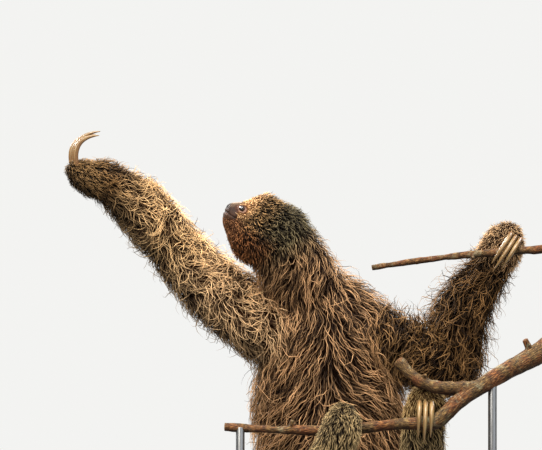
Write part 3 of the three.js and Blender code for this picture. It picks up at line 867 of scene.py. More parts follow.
def face_colours(points):
    """Colours of the bare face: grey-brown muzzle, paler bridge and lips, a painted highlight along the top and
    front of the nose, and painted shade in the nostrils, along the line between the lips and in its corners.

    Each is laid over those before it. The numbers are shares, and places in the head's frame.
    """
    f, u, s = in_head(points).T
    aside = np.abs(s)
    made = np.tile(FACE["muzzle"], (len(points), 1))

    def paint(name, share):
        nonlocal made
        made = made * (1 - share[:, None]) + FACE[name] * share[:, None]

    ridge = np.interp(f, HEAD_PLACE, HEAD_MIDDLE) + np.interp(f, HEAD_PLACE, HEAD_TALL)
    paint("bridge", 0.9 * step_between(u - ridge, -9, -1))
    # Painted highlight: a pale band along the top of the muzzle and on the front of the nose.
    paint("down", (0.65 * step_between(u - ridge, -1.7, -0.4)
                   + 0.35 * step_between(f, 20.3, 21.6) * (u > -9)))
    paint("pad", 0.85 * step_between(f, 15.5, 18.5) * step_between(u, -10.5, -7.5) * bell(aside, 11))
    line = mouth_line(f)
    paint("lip", 0.35 * bell(u - line, 3.4) * (f > 0))
    paint("lower lip", 0.85 * step_between(line - u, 0.6, 2.2) * step_between(f, 6, 13))
    # Painted shade: dark along the line between the lips and in the hollow at its corner.
    paint("dark", bell(u - line, 0.9) * step_between(f, 2, 5) * 0.55)
    paint("dark", bell(f - MOUTH["corner"], 3.4) * bell(u - line, 2.6) * 0.8)
    # Painted shade: dark in the nostrils.
    nostril = (bell(f - NOSTRIL["forward"][0], 3.4) * bell(u - NOSTRIL["up"][0], 1.6)
               * bell(aside - NOSTRIL["aside"][0], 2.2))
    paint("dark", np.clip(1.6 * nostril, 0, 1))
    eye_f, eye_u, _ = EYE["place"]
    from_eye = np.sqrt((f - eye_f - LID["shift"][0]) ** 2 * 0.7 + (u - eye_u) ** 2)
    by_eye = (f > BARE["back"]) * (aside > 10)
    paint("ring", bell(from_eye - 6.8, 1.6) * 0.8 * by_eye)
    paint("lid", bell(from_eye - 4.2, 1.1) * by_eye)
    return made


# ---- The coat ----

TUFT_PATCH = 0.003  # the width of a tuft's patch on the unwrap
# A tuft is three-sided: its thickness over its width, the height of its ridge, its width at the root and
# the rest of it, where it is full, how late it tapers, and how much of its length times width it covers.
TUFT = {"flattened": 0.42, "ridge": 1.6, "root": (0.55, 0.45), "full": 0.25, "taper": 2.4,
        "covers": 0.55}
ROOT_CELL = 8  # roots are counted out cell by cell of this size, so that they spread evenly
CELL_BITS = 8


def unit(vectors):
    """Vectors of length one."""
    return vectors / (np.linalg.norm(vectors, axis=-1, keepdims=True) + LEAST)


def roots_on(skin, cover):
    """Places for the tufts' roots, spread evenly for the cover wanted, and their spots on the unwrap."""
    mesh = skin.data
    mesh.calc_loop_triangles()
    count = len(mesh.loop_triangles)
    corners, loops = np.empty(count * 3, np.int32), np.empty(count * 3, np.int32)
    mesh.loop_triangles.foreach_get("vertices", corners)
    mesh.loop_triangles.foreach_get("loops", loops)
    spots = np.empty(len(mesh.loops) * 2, np.float32)
    mesh.uv_layers["OFBake"].data.foreach_get("uv", spots)
    points = points_of(mesh)[corners.reshape(-1, 3)]
    spots = spots.reshape(-1, 2)[loops.reshape(-1, 3)]
    edge_a, edge_b = points[:, 1] - points[:, 0], points[:, 2] - points[:, 0]
    area = np.linalg.norm(np.cross(edge_a, edge_b), axis=1) / 2
    middle = points.mean(1)
    _, length, width = tufts_at(middle).T
    density = cover(middle) / (TUFT["covers"] * length * width) * (1 - bare_share(middle))
    cell = ((middle - GRID_LOW) / ROOT_CELL).astype(np.int64)
    order = np.zeros(count, np.int64)
    for bit in range(CELL_BITS):
        for axis in range(3):
            order |= (cell[:, axis] >> bit & 1) << (3 * bit + axis)
    order = np.argsort(order, kind="stable")
    running = np.cumsum((area * density)[order])
    picks = np.diff(np.concatenate([[0], np.floor(running + random.uniform())])).astype(int)
    chosen = np.repeat(order, picks)
    a, b = random.uniform(size=(2, len(chosen)))
    fold = a + b > 1
    a, b = np.where(fold, 1 - a, a), np.where(fold, 1 - b, b)
    share = np.stack([1 - a - b, a, b], 1)
    return np.einsum("ij,ijk->ik", share, points[chosen]), np.einsum("ij,ijk->ik", share, spots[chosen])


def turned(vectors, axis, angle):
    """Vectors turned about unit axes that stand across them."""
    angle = angle[:, None]
    return vectors * np.cos(angle) + np.cross(axis, vectors) * np.sin(angle)


# How soon a tuft is at its height, and how steeply it may fall or climb there.
LIFT = {"early": 1.2, "fall": 0.75, "climb": 0.82}


def lay_tufts(roots, grids, length, rise, start, curl, steps):
    """The path of each tuft from its root: along the lie of the hair, lifting off the skin."""
    path, normals = [roots], []
    at = roots.copy()
    run = length / steps
    for k in range(1, steps + 1):
        known = look_up(grids, at)
        here, up = known[:, 0], unit(known[:, 1:])
        normals.append(up)
        lie = flow_at(at) if k % 2 else lie
        way = unit(lie - up * np.einsum("ij,ij->i", lie, up)[:, None])
        way = turned(way, up, start + curl * k / steps)
        wanted = rise * math.sin(0.5 * math.pi * min(1, LIFT["early"] * k / steps))
        climb = np.clip(wanted - here, -LIFT["fall"] * run, LIFT["climb"] * run)
        at = at + way * np.sqrt(run ** 2 - climb ** 2)[:, None] + up * climb[:, None]
        path.append(at)
    normals.append(unit(look_up(grids, at)[:, 1:]))
    return np.stack(path, 1), np.stack(normals, 1)


def nearest_of(places, points):
    """The number of the place nearest to each point."""
    tree = kdtree.KDTree(len(places))
    for i, place in enumerate(places):
        tree.insert(place, i)
    tree.balance()
    return np.array([tree.find(point)[1] for point in points])


def locks_of(roots, per_lock):
    """For each tuft, the tuft in the middle of the lock that it belongs to."""
    guides = random.choice(len(roots), max(1, len(roots) // per_lock), replace=False)
    return guides[nearest_of(roots[guides], roots)]


def tuft_meshes(path, normals, width):
    """Points of three-sided tufts on their paths, root ring first and tip last, and the faces of one."""
    rings = path.shape[1] - 1
    way = unit(np.gradient(path, axis=1))
    side = unit(np.cross(way, normals))
    up = np.cross(side, way)
    t = np.linspace(0, 1, rings + 1)[:-1]
    least, more = TUFT["root"]
    girth = (least + more * np.clip(t / TUFT["full"], 0, 1)) * (1 - t ** TUFT["taper"])
    half = width[:, None, None] * girth[None, :, None] / 2
    tall = TUFT["flattened"] * half
    at, side, up = path[:, :-1], side[:, :-1], up[:, :-1]
    ring = np.stack([at - side * half - up * tall, at + side * half - up * tall,
                     at + up * tall * TUFT["ridge"]], 2)
    points = np.concatenate([ring.reshape(len(path), -1, 3), path[:, -1:]], 1)
    quads, caps = [], [(0, 2, 1)]
    for r in range(rings - 1):
        for c in range(3):
            d = (c + 1) % 3
            quads.append((3 * r + c, 3 * r + d, 3 * r + 3 + d, 3 * r + 3 + c))
    last = 3 * (rings - 1)
    caps += [(last + c, last + (c + 1) % 3, last + 3) for c in range(3)]
    return points, np.array(quads), np.array(caps), t


def coat_piece(name, batches, material, slot):
    """One piece of the coat from batches of tufts, with colours, strand values and an unwrap."""
    points, faces, deep, tip, strand, patches = [], [], [], [], [], []
    first = 0
    for batch in batches:
        shape, quads, caps, t = tuft_meshes(batch["path"], batch["normals"], batch["width"])
        count, each = shape.shape[:2]
        base = first + (np.arange(count) * each)[:, None, None]
        first += count * each
        points.append(shape.reshape(-1, 3))
        faces += [(base + quads).reshape(-1, 4), (base + caps).reshape(-1, 3)]
        along = np.append(np.repeat(t, 3), 1.0)
        across = np.append(np.tile([0.0, 1.0, 0.5], len(t)), 0.5)
        tones = np.repeat(np.hstack([batch["tones"], np.ones((count, 1))]), each, axis=0)
        deep.append(tones[:, [0, 1, 2, 6]])
        tip.append(tones[:, [3, 4, 5, 6]])
        own = [np.repeat(batch[key], each) for key in ("layer", "chance")]
        strand.append(np.stack([np.tile(along, count), *own], 1))
        patch = np.stack([across - 0.5, along - 0.5], 1) * TUFT_PATCH
        patches.append(np.clip(batch["spots"][:, None] + patch[None], 0, 1).reshape(-1, 2))
    piece = mesh_object(name, np.concatenate(points), faces)
    set_attribute(piece.data, "deep", "FLOAT_COLOR", np.concatenate(deep))
    set_attribute(piece.data, "tip", "FLOAT_COLOR", np.concatenate(tip))
    set_attribute(piece.data, "strand", "FLOAT_VECTOR", np.concatenate(strand))
    corners = np.concatenate([group.reshape(-1) for group in faces])
    spot = np.concatenate(patches)[corners].astype(np.float32)
    piece.data.uv_layers.new(name="OFBake").data.foreach_set("uv", spot.reshape(-1))
    return dressed(piece, slot, material)


def hair_material():
    """Three-toed sloth hair: coarse, dry outer hairs over dark underfur, dull, pale at the tips; kept dark low in
    the coat partly as painted shade.
    """
    made, tree, show = new_material("sloth hair, coarse and dry")
    eased = {"interpolation_type": "SMOOTHSTEP"}
    strand = node(tree, "ShaderNodeAttribute", {"attribute_name": "strand"}).outputs["Vector"]
    deep = node(tree, "ShaderNodeAttribute", {"attribute_name": "deep"})
    tip = node(tree, "ShaderNodeAttribute", {"attribute_name": "tip"})
    along, layer, chance = node(tree, "ShaderNodeSeparateXYZ", Vector=strand).outputs
    # Pale out along the hair and high in the coat, and more so on some hairs than on others. Low in the coat and
    # at the roots the hair keeps its deep colour: partly the underfur's own darker colour, partly painted shade.
    out = node(tree, "ShaderNodeMapRange", eased, Value=along, From_Max=0.7, To_Min=0.05)
    high = node(tree, "ShaderNodeMapRange", eased, Value=layer, From_Min=0.2, From_Max=0.8, To_Min=0.06)
    own = node(tree, "ShaderNodeMapRange", Value=chance, To_Min=-0.15, To_Max=1.6)
    pale = node(tree, "ShaderNodeMath", TIMES, _0=out, _1=high)
    pale = node(tree, "ShaderNodeMath", TIMES, _0=pale, _1=own)
    # Stains along the hairs, each a few millimetres long.
    place = node(tree, "ShaderNodeTexCoord").outputs["Object"]
    stain = node(tree, "ShaderNodeTexNoise", Vector=place, Scale=per_metre(4.5), Detail=2.0)
    stain = node(tree, "ShaderNodeMapRange", Value=stain, To_Min=-0.18, To_Max=0.18)
    pale = node(tree, "ShaderNodeMath", {"operation": "ADD", "use_clamp": True}, _0=pale, _1=stain)
    colour = node(tree, "ShaderNodeMix", BLEND, _0=pale, _6=deep, _7=tip)
    bright = node(tree, "ShaderNodeMapRange", Value=chance, To_Min=0.86, To_Max=1.12)
    colour = node(tree, "ShaderNodeHueSaturation", Value=bright, Color=colour)
    show(node(tree, "ShaderNodeBsdfPrincipled", Base_Color=colour, Roughness=0.62, IOR=1.55,
              Specular_IOR_Level=0.12))
    return made


def skin_material():
    """Sloth hide: dull and dark under the coat, partly its own colour and partly painted shade between the tufts;
    bare, leathery and finely creased on the muzzle.
    """
    made, tree, show = new_material("sloth hide, leathery")
    deep = node(tree, "ShaderNodeAttribute", {"attribute_name": "deep"})
    face = node(tree, "ShaderNodeAttribute", {"attribute_name": "face"})
    bare = node(tree, "ShaderNodeAttribute", {"attribute_name": "bare"}).outputs["Fac"]
    place = node(tree, "ShaderNodeTexCoord").outputs["Object"]
    # Blotches of the bare hide, about 4 mm across.
    mottle = node(tree, "ShaderNodeTexNoise", Vector=place, Scale=per_metre(3.8), Detail=4.0)
    blotch = node(tree, "ShaderNodeValToRGB", {"stops": [(0.3, "#8c8078"), (0.7, "#ffffff")]}, Fac=mottle)
    bright = node(tree, "ShaderNodeMix", DARKEN, _0=0.8, _6=face, _7=blotch)
    # Painted shade: under the coat the hide takes the coat's deep colour with three tenths of near black, so that
    # the gaps between tufts read as shadow.
    dark = node(tree, "ShaderNodeMix", BLEND, _0=0.3, _6=deep, _7=linear("#0a0603"))
    colour = node(tree, "ShaderNodeMix", BLEND, _0=bare, _6=dark, _7=bright)
    # Pores 1.1 mm and creases 1.4 mm apart: coarser than real ones, so that they show.
    pores = node(tree, "ShaderNodeTexVoronoi", {"feature": "SMOOTH_F1"}, Vector=place,
                 Scale=per_metre(1.1))
    creases = node(tree, "ShaderNodeTexNoise", Vector=place, Scale=per_metre(1.4), Detail=3.0)
    relief = node(tree, "ShaderNodeMath", ADD, _0=pores.outputs["Distance"], _1=creases)
    bump = node(tree, "ShaderNodeBump", Strength=0.4, Distance=0.0004, Height=relief)
    rough = node(tree, "ShaderNodeMapRange", Value=bare, To_Min=1.0, To_Max=0.6)
    show(node(tree, "ShaderNodeBsdfPrincipled", Base_Color=colour, Roughness=rough, IOR=1.45,
              Specular_IOR_Level=0.1, Normal=bump))
    return made


# How the hair lies on each part:
# - steps: the segments of an outer tuft
# - whorl, turn and own: how far whorls, a lock and a tuft of its own turn from the lie, in radians
# - curl: how far a tuft turns along its length; wave: how high its waves are, over its length
# - stray: the share of stray hairs; loose: how much higher than the rest they rise
# - pull: how far the tips of a lock draw together
# - cover and under: how many times over the outer tufts and the underfur cover the skin
# - dark: the share of dark hairs; slot: the name of the part that it covers, which nothing reads
LIE = {
    "trunk": {"slot": "trunk", "steps": 6, "whorl": 0.42, "turn": 0.16, "own": 0.14, "curl": 0.5,
              "wave": 0.034, "stray": 0.05, "loose": 1.55, "pull": 0.5, "cover": 2.6, "under": 1.2, "dark": 0.32},
    "arm": {"slot": "upper_arm", "steps": 6, "whorl": 0.95, "turn": 0.24, "own": 0.24, "curl": 1.6,
            "wave": 0.03, "stray": 0.12, "loose": 1.55, "pull": 0.25, "cover": 3.2, "under": 1.2, "dark": 0.22},
    "leg": {"slot": "thigh", "steps": 5, "whorl": 0.6, "turn": 0.2, "own": 0.16, "curl": 0.7,
            "wave": 0.03, "stray": 0.06, "loose": 1.5, "pull": 0.3, "cover": 2.8, "under": 1.2, "dark": 0.38},
    "tail": {"slot": "tail", "steps": 4, "whorl": 0.2, "turn": 0.2, "own": 0.14, "curl": 0.3,
             "wave": 0.03, "stray": 0.05, "loose": 1.3, "pull": 0.4, "cover": 2.6, "under": 1.2, "dark": 0.3},
    "head": {"slot": "head", "steps": 3, "whorl": 0.3, "turn": 0.18, "own": 0.34, "curl": 0.4,
             "wave": 0.02, "stray": 0.16, "loose": 1.5, "pull": 0.1, "cover": 4.0, "under": 1.2, "dark": 0.48},
}
# Longer, looser hair hangs from the left arm.
LIE["arm_left"] = {**LIE["arm"], "whorl": 0.5, "curl": 0.8, "stray": 0.28, "loose": 2.1, "dark": 0.34}
# Each limb's coat is two pieces, which meet at its bend. The trunk's is three, and the head's two.
BENDS = {"arm_right": (-234, 38, 577), "arm_left": (146, 62, 418), "leg_right": (-86, -108, 214),
         "leg_left": (100, -108, 222)}
THIRDS = ("front", "left", "right")
FACE_BACK = -20.0
OF_HEAD = {"inside": 3, "middle": -40, "half": 75}  # how far the head's own hair reaches
PER_LOCK = 8  # tufts to a lock, about
NEAT = {"below": 26.0, "least": 0.35}  # hair shorter than this, as on the paws, lies neater
OUTER = {"height": (0.35, 1.0), "length": (0.75, 1.2), "width": (0.34, 0.68), "low": (0.72, 0.33)}
UNDERFUR = {"height": (0.1, 0.42), "length": (0.8, 1.1), "width": (0.8, 1.2), "wider": 2.0,
            "shorter": 0.8, "narrowed": 0.7, "steps": 3}
STRAY = {"turn": 0.6, "curl": 1.2}
# Whorls and curls follow slow waves over the body: size, seed and strength of each.
WHORLS = ((52, 21, 0.75), (22, 22, 0.4))
CURLS = {"wave": (36, 23, 0.6), "lock": 0.5, "own": 0.35}
# How far into each lock a tuft may be drawn, and how late along it that begins.
DRAWN = {"share": (0.1, 1.0), "late": 1.4}
# A hair's paleness is partly its lock's. Dark ones and pale ones keep to their own ends of the scale.
CHANCE = {"own": 0.55, "lock": 0.45, "dark": 0.3, "pale": (0.35, 0.65)}
# The waves of a hair: height and its spread, length by lock and by hair, how far hairs are out of step,
# how soon the waves are full, and the shallower, longer dip across them.
WAVE = {"height": (0.15, 1.7), "spread": (0.4, 1.3), "long": (17, 30), "own": (-2, 2), "step": 0.9,
        "full": 2.5, "dip": 0.5, "dip_long": 0.8, "dip_step": 2.1}
ROOT_SUNK = 0.6  # how far a root is sunk into the skin


def part_of(points):
    """Which part of the body points are on, the head last, and their places on the parts' lines."""
    found = [from_line(line, points) for line in LINES]
    f = in_head(points)[:, 0]
    beyond = np.abs(f - OF_HEAD["middle"]) > OF_HEAD["half"]
    of_head = from_head(points, False) - OF_HEAD["inside"] + FAR * beyond
    nearest = np.argmin([gap for gap, _ in found] + [of_head], axis=0)
    return nearest, [place for _, place in found], f


def kind_of(name):
    """Which way of lying the hair has on a line of the body."""
    return name if name in LIE else name.partition("_")[0]


def make_coat(skin, grids):
    """The whole coat, in pieces by the part of the body that each covers."""
    material = hair_material()
    kinds = [kind_of(line["name"]) for line in LINES] + ["head"]
    layers = []
    for what, wide in (("cover", 1.0), ("under", UNDERFUR["wider"])):
        table = np.array([LIE[kind][what] for kind in kinds])
        roots, spots = roots_on(skin, lambda points: table[part_of(points)[0]] / wide)
        layers.append((what, roots, spots, *part_of(roots)))
    for i, line in enumerate(LINES):
        name = line["name"]
        kind, side = kind_of(name), name.partition("_")[2]
        slot = LIE[kind]["slot"] + ("_" + side if side else "")
        if name == "trunk":
            tests = {f"coat_trunk_{part}": lambda roots, place, j=j: third_of(line, roots, place) == j
                     for j, part in enumerate(THIRDS)}
        elif name in BENDS:
            bend = np.argmin(np.linalg.norm(line["centre"] - BENDS[name], axis=1))
            tests = {f"coat_{name}_upper": lambda roots, place: place <= bend,
                     f"coat_{name}_lower": lambda roots, place: place > bend}
        else:
            tests = {f"coat_{name}": lambda roots, place: place > -1}
        for piece, test in tests.items():
            batches = []
            for what, roots, spots, nearest, places, _ in layers:
                chosen = (nearest == i) & test(roots, places[i])
                batches.append(grow(kind, what, roots[chosen], spots[chosen], grids))
            coat_piece(piece, batches, material, slot)
    for piece, forward in (("coat_face", True), ("coat_crown", False)):
        batches = []
        for what, roots, spots, nearest, _, f in layers:
            chosen = (nearest == len(LINES)) & ((f > FACE_BACK) == forward)
            batches.append(grow("head", what, roots[chosen], spots[chosen], grids))
        coat_piece(piece, batches, material, "head")


def third_of(line, roots, place):
    """Which third of the way round a line each root is on."""
    centre = at_place(line["centre"], place)
    turn = np.arctan2(roots[:, 1] - centre[:, 1], roots[:, 0] - centre[:, 0]) + math.pi
    return np.floor(turn / (2 * math.pi) * len(THIRDS) - LEAST)


def waved(path, normals, length, lock, height, t):
    """Paths with the hair's own waves, in step within a lock and nought at the root."""
    count = len(path)
    side = unit(np.cross(unit(np.gradient(path, axis=1)), normals))
    size = np.clip(length * height, *WAVE["height"])[:, None]
    size = size * random.uniform(*WAVE["spread"], (count, 1))
    long = random.uniform(*WAVE["long"], count)[lock] + random.uniform(*WAVE["own"], count)
    turns = (length / long)[:, None]
    phase = random.uniform(0, 2 * math.pi, count)[lock][:, None]
    phase = phase + random.normal(0, WAVE["step"], (count, 1))
    full = np.minimum(1, WAVE["full"] * t)
    bend = size * np.sin(2 * math.pi * turns * t + phase) * full
    across = 2 * math.pi * turns * t * WAVE["dip_long"] + WAVE["dip_step"] * phase
    dip = WAVE["dip"] * size * np.sin(across) * full
    return path + side * bend[..., None] + normals * dip[..., None]


def grow(kind, what, roots, spots, grids):
    """Grows one batch of tufts from their roots: the outer ones, or the low, broad underfur."""
    lie = LIE[kind]
    shape = OUTER if what == "cover" else UNDERFUR
    outer = shape is OUTER
    count = len(roots)
    depth, length, width = tufts_at(roots).T
    layer = random.uniform(*shape["height"], count)
    lock = locks_of(roots, PER_LOCK)
    whorl = sum(strength * waves(roots, size, seed) for size, seed, strength in WHORLS)
    start = lie["whorl"] * whorl
    start += random.normal(0, lie["turn"], count)[lock] + random.normal(0, lie["own"], count)
    loose = 1.0 if kind == "head" else np.clip(length / NEAT["below"], NEAT["least"], 1)
    size, seed, strength = CURLS["wave"]
    curl = strength * waves(roots, size, seed)
    curl = curl + CURLS["lock"] * random.normal(size=count)[lock]
    curl = curl + CURLS["own"] * random.normal(size=count)
    start, curl = start * loose, lie["curl"] * curl * loose
    stray = outer & (random.uniform(size=count) < lie["stray"])
    start = np.where(stray, start + random.normal(0, STRAY["turn"], count), start)
    curl = np.where(stray, curl + random.normal(0, STRAY["curl"], count), curl)
    rise = depth * layer * np.where(stray, lie["loose"], 1.0)
    length = length * random.uniform(*shape["length"], count)
    if outer:
        steps = lie["steps"]
        length = length * (OUTER["low"][0] + OUTER["low"][1] * layer)
        width = width * random.uniform(*shape["width"], count)
    else:
        steps = UNDERFUR["steps"]
        length = length * UNDERFUR["shorter"]
        width = width * random.uniform(*shape["width"], count) * UNDERFUR["wider"] * UNDERFUR["narrowed"]
    path, normals = lay_tufts(roots, grids, length, rise, start, curl, steps)
    t = np.linspace(0, 1, steps + 1)[None, :]
    drawn = random.uniform(*DRAWN["share"], count) * loose * lie["pull"] * ~stray
    path = path + (path[lock] - path) * (drawn[:, None] * t ** DRAWN["late"])[..., None]
    chance = CHANCE["own"] * random.uniform(size=count)
    chance = chance + CHANCE["lock"] * random.uniform(size=count)[lock]
    least, more = CHANCE["pale"]
    dark = random.uniform(size=count) < lie["dark"]
    chance = np.where(dark, CHANCE["dark"] * chance, least + more * chance)
    path = waved(path, normals, length, lock, lie["wave"], t)
    path[:, 0] -= normals[:, 0] * ROOT_SUNK
    return {"spots": spots, "tones": tones_at(roots), "path": path, "normals": normals, "width": width,
            "layer": layer, "chance": chance}


# ---- Camera, light and floor ----

# What the lens is pointed at, how wide a view it takes there and how far off it stands.
VIEW = {"centre": (-103.6, 615.0), "width": 758.8, "distance": 8000.0, "subject": -20.0}
SENSOR = 36.0


def make_camera():
    """A long lens, level, square to the animal."""
    data = bpy.data.cameras.new("camera")
    data.sensor_width = SENSOR
    data.lens = SENSOR * VIEW["distance"] / VIEW["width"]
    data.clip_start, data.clip_end = 0.1, 100.0
    camera = bpy.data.objects.new("camera", data)
    across, up = VIEW["centre"]
    camera.location = (across * MM, (VIEW["subject"] - VIEW["distance"]) * MM, up * MM)
    camera.rotation_euler = (math.pi / 2, 0, 0)
    bpy.context.scene.collection.objects.link(camera)
    bpy.context.scene.camera = camera


LAMPS = [  # name, the way to it, its spread in degrees, strength and colour
    ("overhead softbox", (0.05, -0.2, 1.0), 40, 8.0, "#fffdf8"),
    ("front softbox", (-0.55, -0.8, 0.75), 22, 3.4, "#fff7ec"),
    ("fill", (0.8, -0.7, 0.35), 60, 0.6, "#f2f6ff"),
    ("rim left", (-0.6, 0.75, 0.55), 20, 3.8, "#ffffff"),
    ("rim right", (0.5, 0.8, 0.7), 25, 1.8, "#ffffff"),
]
SURROUND = {"colour": "#fbfbf9", "seen": 0.93, "above": 0.4, "below": 0.06, "edge": (-0.2, 0.5)}
LAMP_DISTANCE = 3
FLOOR_RADIUS = 7.0


def make_light():
    """Soft studio light, mostly from above and even over the whole floor, in a bright surround."""
    for name, way, spread, power, colour in LAMPS:
        data = bpy.data.lights.new(name, "SUN")
        data.angle = math.radians(spread)
        data.energy = power
        data.color = linear(colour)[:3]
        lamp = bpy.data.objects.new(name, data)
        lamp.location = Vector(way) * LAMP_DISTANCE
        lamp.rotation_euler = Vector(way).to_track_quat("Z", "Y").to_euler()
        bpy.context.scene.collection.objects.link(lamp)
    world = bpy.data.worlds.new("surround")
    world.use_nodes = True
    tree = world.node_tree
    seen = node(tree, "ShaderNodeLightPath").outputs["Is Camera Ray"]
    way = node(tree, "ShaderNodeTexCoord").outputs["Generated"]
    way = node(tree, "ShaderNodeSeparateXYZ", Vector=way)
    low, high = SURROUND["edge"]
    lights = node(tree, "ShaderNodeMapRange", Value=way.outputs["Z"], From_Min=low, From_Max=high,
                  To_Min=SURROUND["below"], To_Max=SURROUND["above"])
    strength = node(tree, "ShaderNodeMix", _0=seen, _2=lights, _3=SURROUND["seen"])
    ground = tree.nodes["Background"]
    ground.inputs["Color"].default_value = linear(SURROUND["colour"])
    tree.links.new(strength.outputs[0], ground.inputs["Strength"])
    bpy.context.scene.world = world
    bpy.context.scene.view_settings.view_transform = "Standard"


def make_floor():
    """A wide pale floor of matt painted board."""
    bpy.ops.object.select_all(action="DESELECT")
    bpy.ops.mesh.primitive_circle_add(vertices=128, radius=FLOOR_RADIUS, fill_type="NGON",
                                    location=(0, 0, 0))
    floor = bpy.context.object
    floor.name = "floor"
    made, tree, show = new_material("matt painted board")
    place = node(tree, "ShaderNodeTexCoord").outputs["Object"]
    # Roller marks about 30 mm across.
    grain = node(tree, "ShaderNodeTexNoise", Vector=place, Scale=per_metre(30), Detail=3.0)
    colour = node(tree, "ShaderNodeValToRGB", {"stops": [(0.3, "#6c6c6a"), (0.7, "#70706e")]}, Fac=grain)
    show(node(tree, "ShaderNodeBsdfPrincipled", Base_Color=colour, Roughness=0.85,
              Specular_IOR_Level=0.2))
    floor.data.materials.append(made)


# ---- Eyes, claws, perch and stand ----

def unit3(values):
    """One vector of length one."""
    values = np.array(values, float)
    return values / np.linalg.norm(values)


def tube(name, centres, rims, close_start, close_end):
    """A closed tube through rings of points, each end closed by a point."""
    count, sides = rims.shape[:2]
    points = np.vstack([rims.reshape(-1, 3), close_start, close_end])
    ring, next_ring = np.arange(count - 1)[:, None] * sides, np.arange(1, count)[:, None] * sides
    here, there = np.arange(sides)[None], (np.arange(sides)[None] + 1) % sides
    quads = np.stack([ring + here, ring + there, next_ring + there, next_ring + here], -1).reshape(-1, 4)
    first, last = len(points) - 2, len(points) - 1
    end = (count - 1) * sides
    caps = [(there[0, i], here[0, i], first) for i in range(sides)]
    caps += [(end + here[0, i], end + there[0, i], last) for i in range(sides)]
    return mesh_object(name, points, [quads, np.array(caps)])


GAZE = {"forward": 0.42, "up": 0.12, "aside": 0.9}
CORNEA = {"height": 0.42, "edge": (22, 44)}  # the clear front of the eye, its edge in degrees


def make_eye(name, side):
    """One eyeball with a raised, clear front over a dark brown iris."""
    centre = HEAD["origin"] + EYE["place"] * [1, 1, side] @ HEAD_AXES
    gaze = unit3([GAZE["forward"], GAZE["up"], GAZE["aside"] * side] @ HEAD_AXES)
    bpy.ops.object.select_all(action="DESELECT")
    turn = Vector(gaze).to_track_quat("Z", "Y").to_euler()
    bpy.ops.mesh.primitive_uv_sphere_add(segments=40, ring_count=28, radius=EYE["radius"] * MM,
                                         location=centre * MM, rotation=turn)
    eye = bpy.context.object
    eye.name = name
    bpy.ops.object.transform_apply(location=True, rotation=True, scale=True)
    points = points_of(eye.data)
    off = points - centre
    angle = np.degrees(np.arccos(np.clip(unit(off) @ gaze, -1, 1)))
    points += gaze * (CORNEA["height"] * (1 - step_between(angle, *CORNEA["edge"])))[:, None]
    move_points(eye.data, points)
    set_attribute(eye.data, "from_gaze", "FLOAT", angle / 90)
    shade_smooth(eye.data)
    return eye


def eye_material():
    """Moist eye: a black pupil in a very dark brown iris, under a clear wet front that glints."""
    made, tree, show = new_material("moist dark eye")
    angle = node(tree, "ShaderNodeAttribute", {"attribute_name": "from_gaze"}).outputs["Fac"]
    place = node(tree, "ShaderNodeTexCoord").outputs["Object"]
    # Flecks of the iris, 0.4 mm across.
    flecks = node(tree, "ShaderNodeTexNoise", Vector=place, Scale=per_metre(0.4), Detail=2.0)
    shift = node(tree, "ShaderNodeMapRange", Value=flecks, To_Min=-0.025, To_Max=0.025)
    iris = node(tree, "ShaderNodeMath", ADD, _0=angle, _1=shift)
    colour = node(tree, "ShaderNodeValToRGB", {"stops": [
        (0.0, "#040202"), (0.22, "#050302"), (0.27, "#1d0d06"), (0.42, "#28140a"), (0.5, "#0c0504"),
        (0.62, "#2c1f19")]}, Fac=iris)
    show(node(tree, "ShaderNodeBsdfPrincipled", Base_Color=colour, Roughness=0.2, IOR=1.38,
              Specular_IOR_Level=0.4, Coat_Weight=1.0, Coat_Roughness=0.02))
    return made


# Each paw's claws: the middle one's root and tip, its bulge and by how much, and the step to the next.
CLAWS = {
    "hand_right": {"root": (-379, -19, 700), "tip": (-344.5, -10, 744.5), "bulge": (-1, 0, 0.9),
                   "sag": 14.5, "row": (3.4, -8.4, 0.2)},
    "hand_left": {"root": (239, -1, 598), "tip": (209.6, -20, 554), "bulge": (0.1, -1, 0.15), "sag": 15,
                  "row": (6.2, 1.2, -4.4)},
    "foot_right": {"root": (-5, -160, 357), "tip": (-5, -119, 316), "bulge": (0, 0.7, 0.75), "sag": 16,
                   "row": (8.6, 0, 0)},
    "foot_left": {"root": (110, -129, 371), "tip": (107, -159, 318), "bulge": (0, -1, 0.25), "sag": 20,
                  "row": (8.6, 0.6, -0.4)},
}
# The section of a claw, its taper, its narrower root inside the paw, the groove under it and fine ridges.
CLAW = {"half_width": 3.7, "half_height": 4.6, "tip": 0.55, "point": 3.0, "slimmer": (0.84, 0.16, 0.4),
        "lengths": (0.94, 1.04, 0.9), "rings": 44, "sides": 22, "sunk": -0.16, "neck": (0.25, 0.1),
        "groove": (0.2, 0.45), "ridges": (0.018, 7, 1.3)}


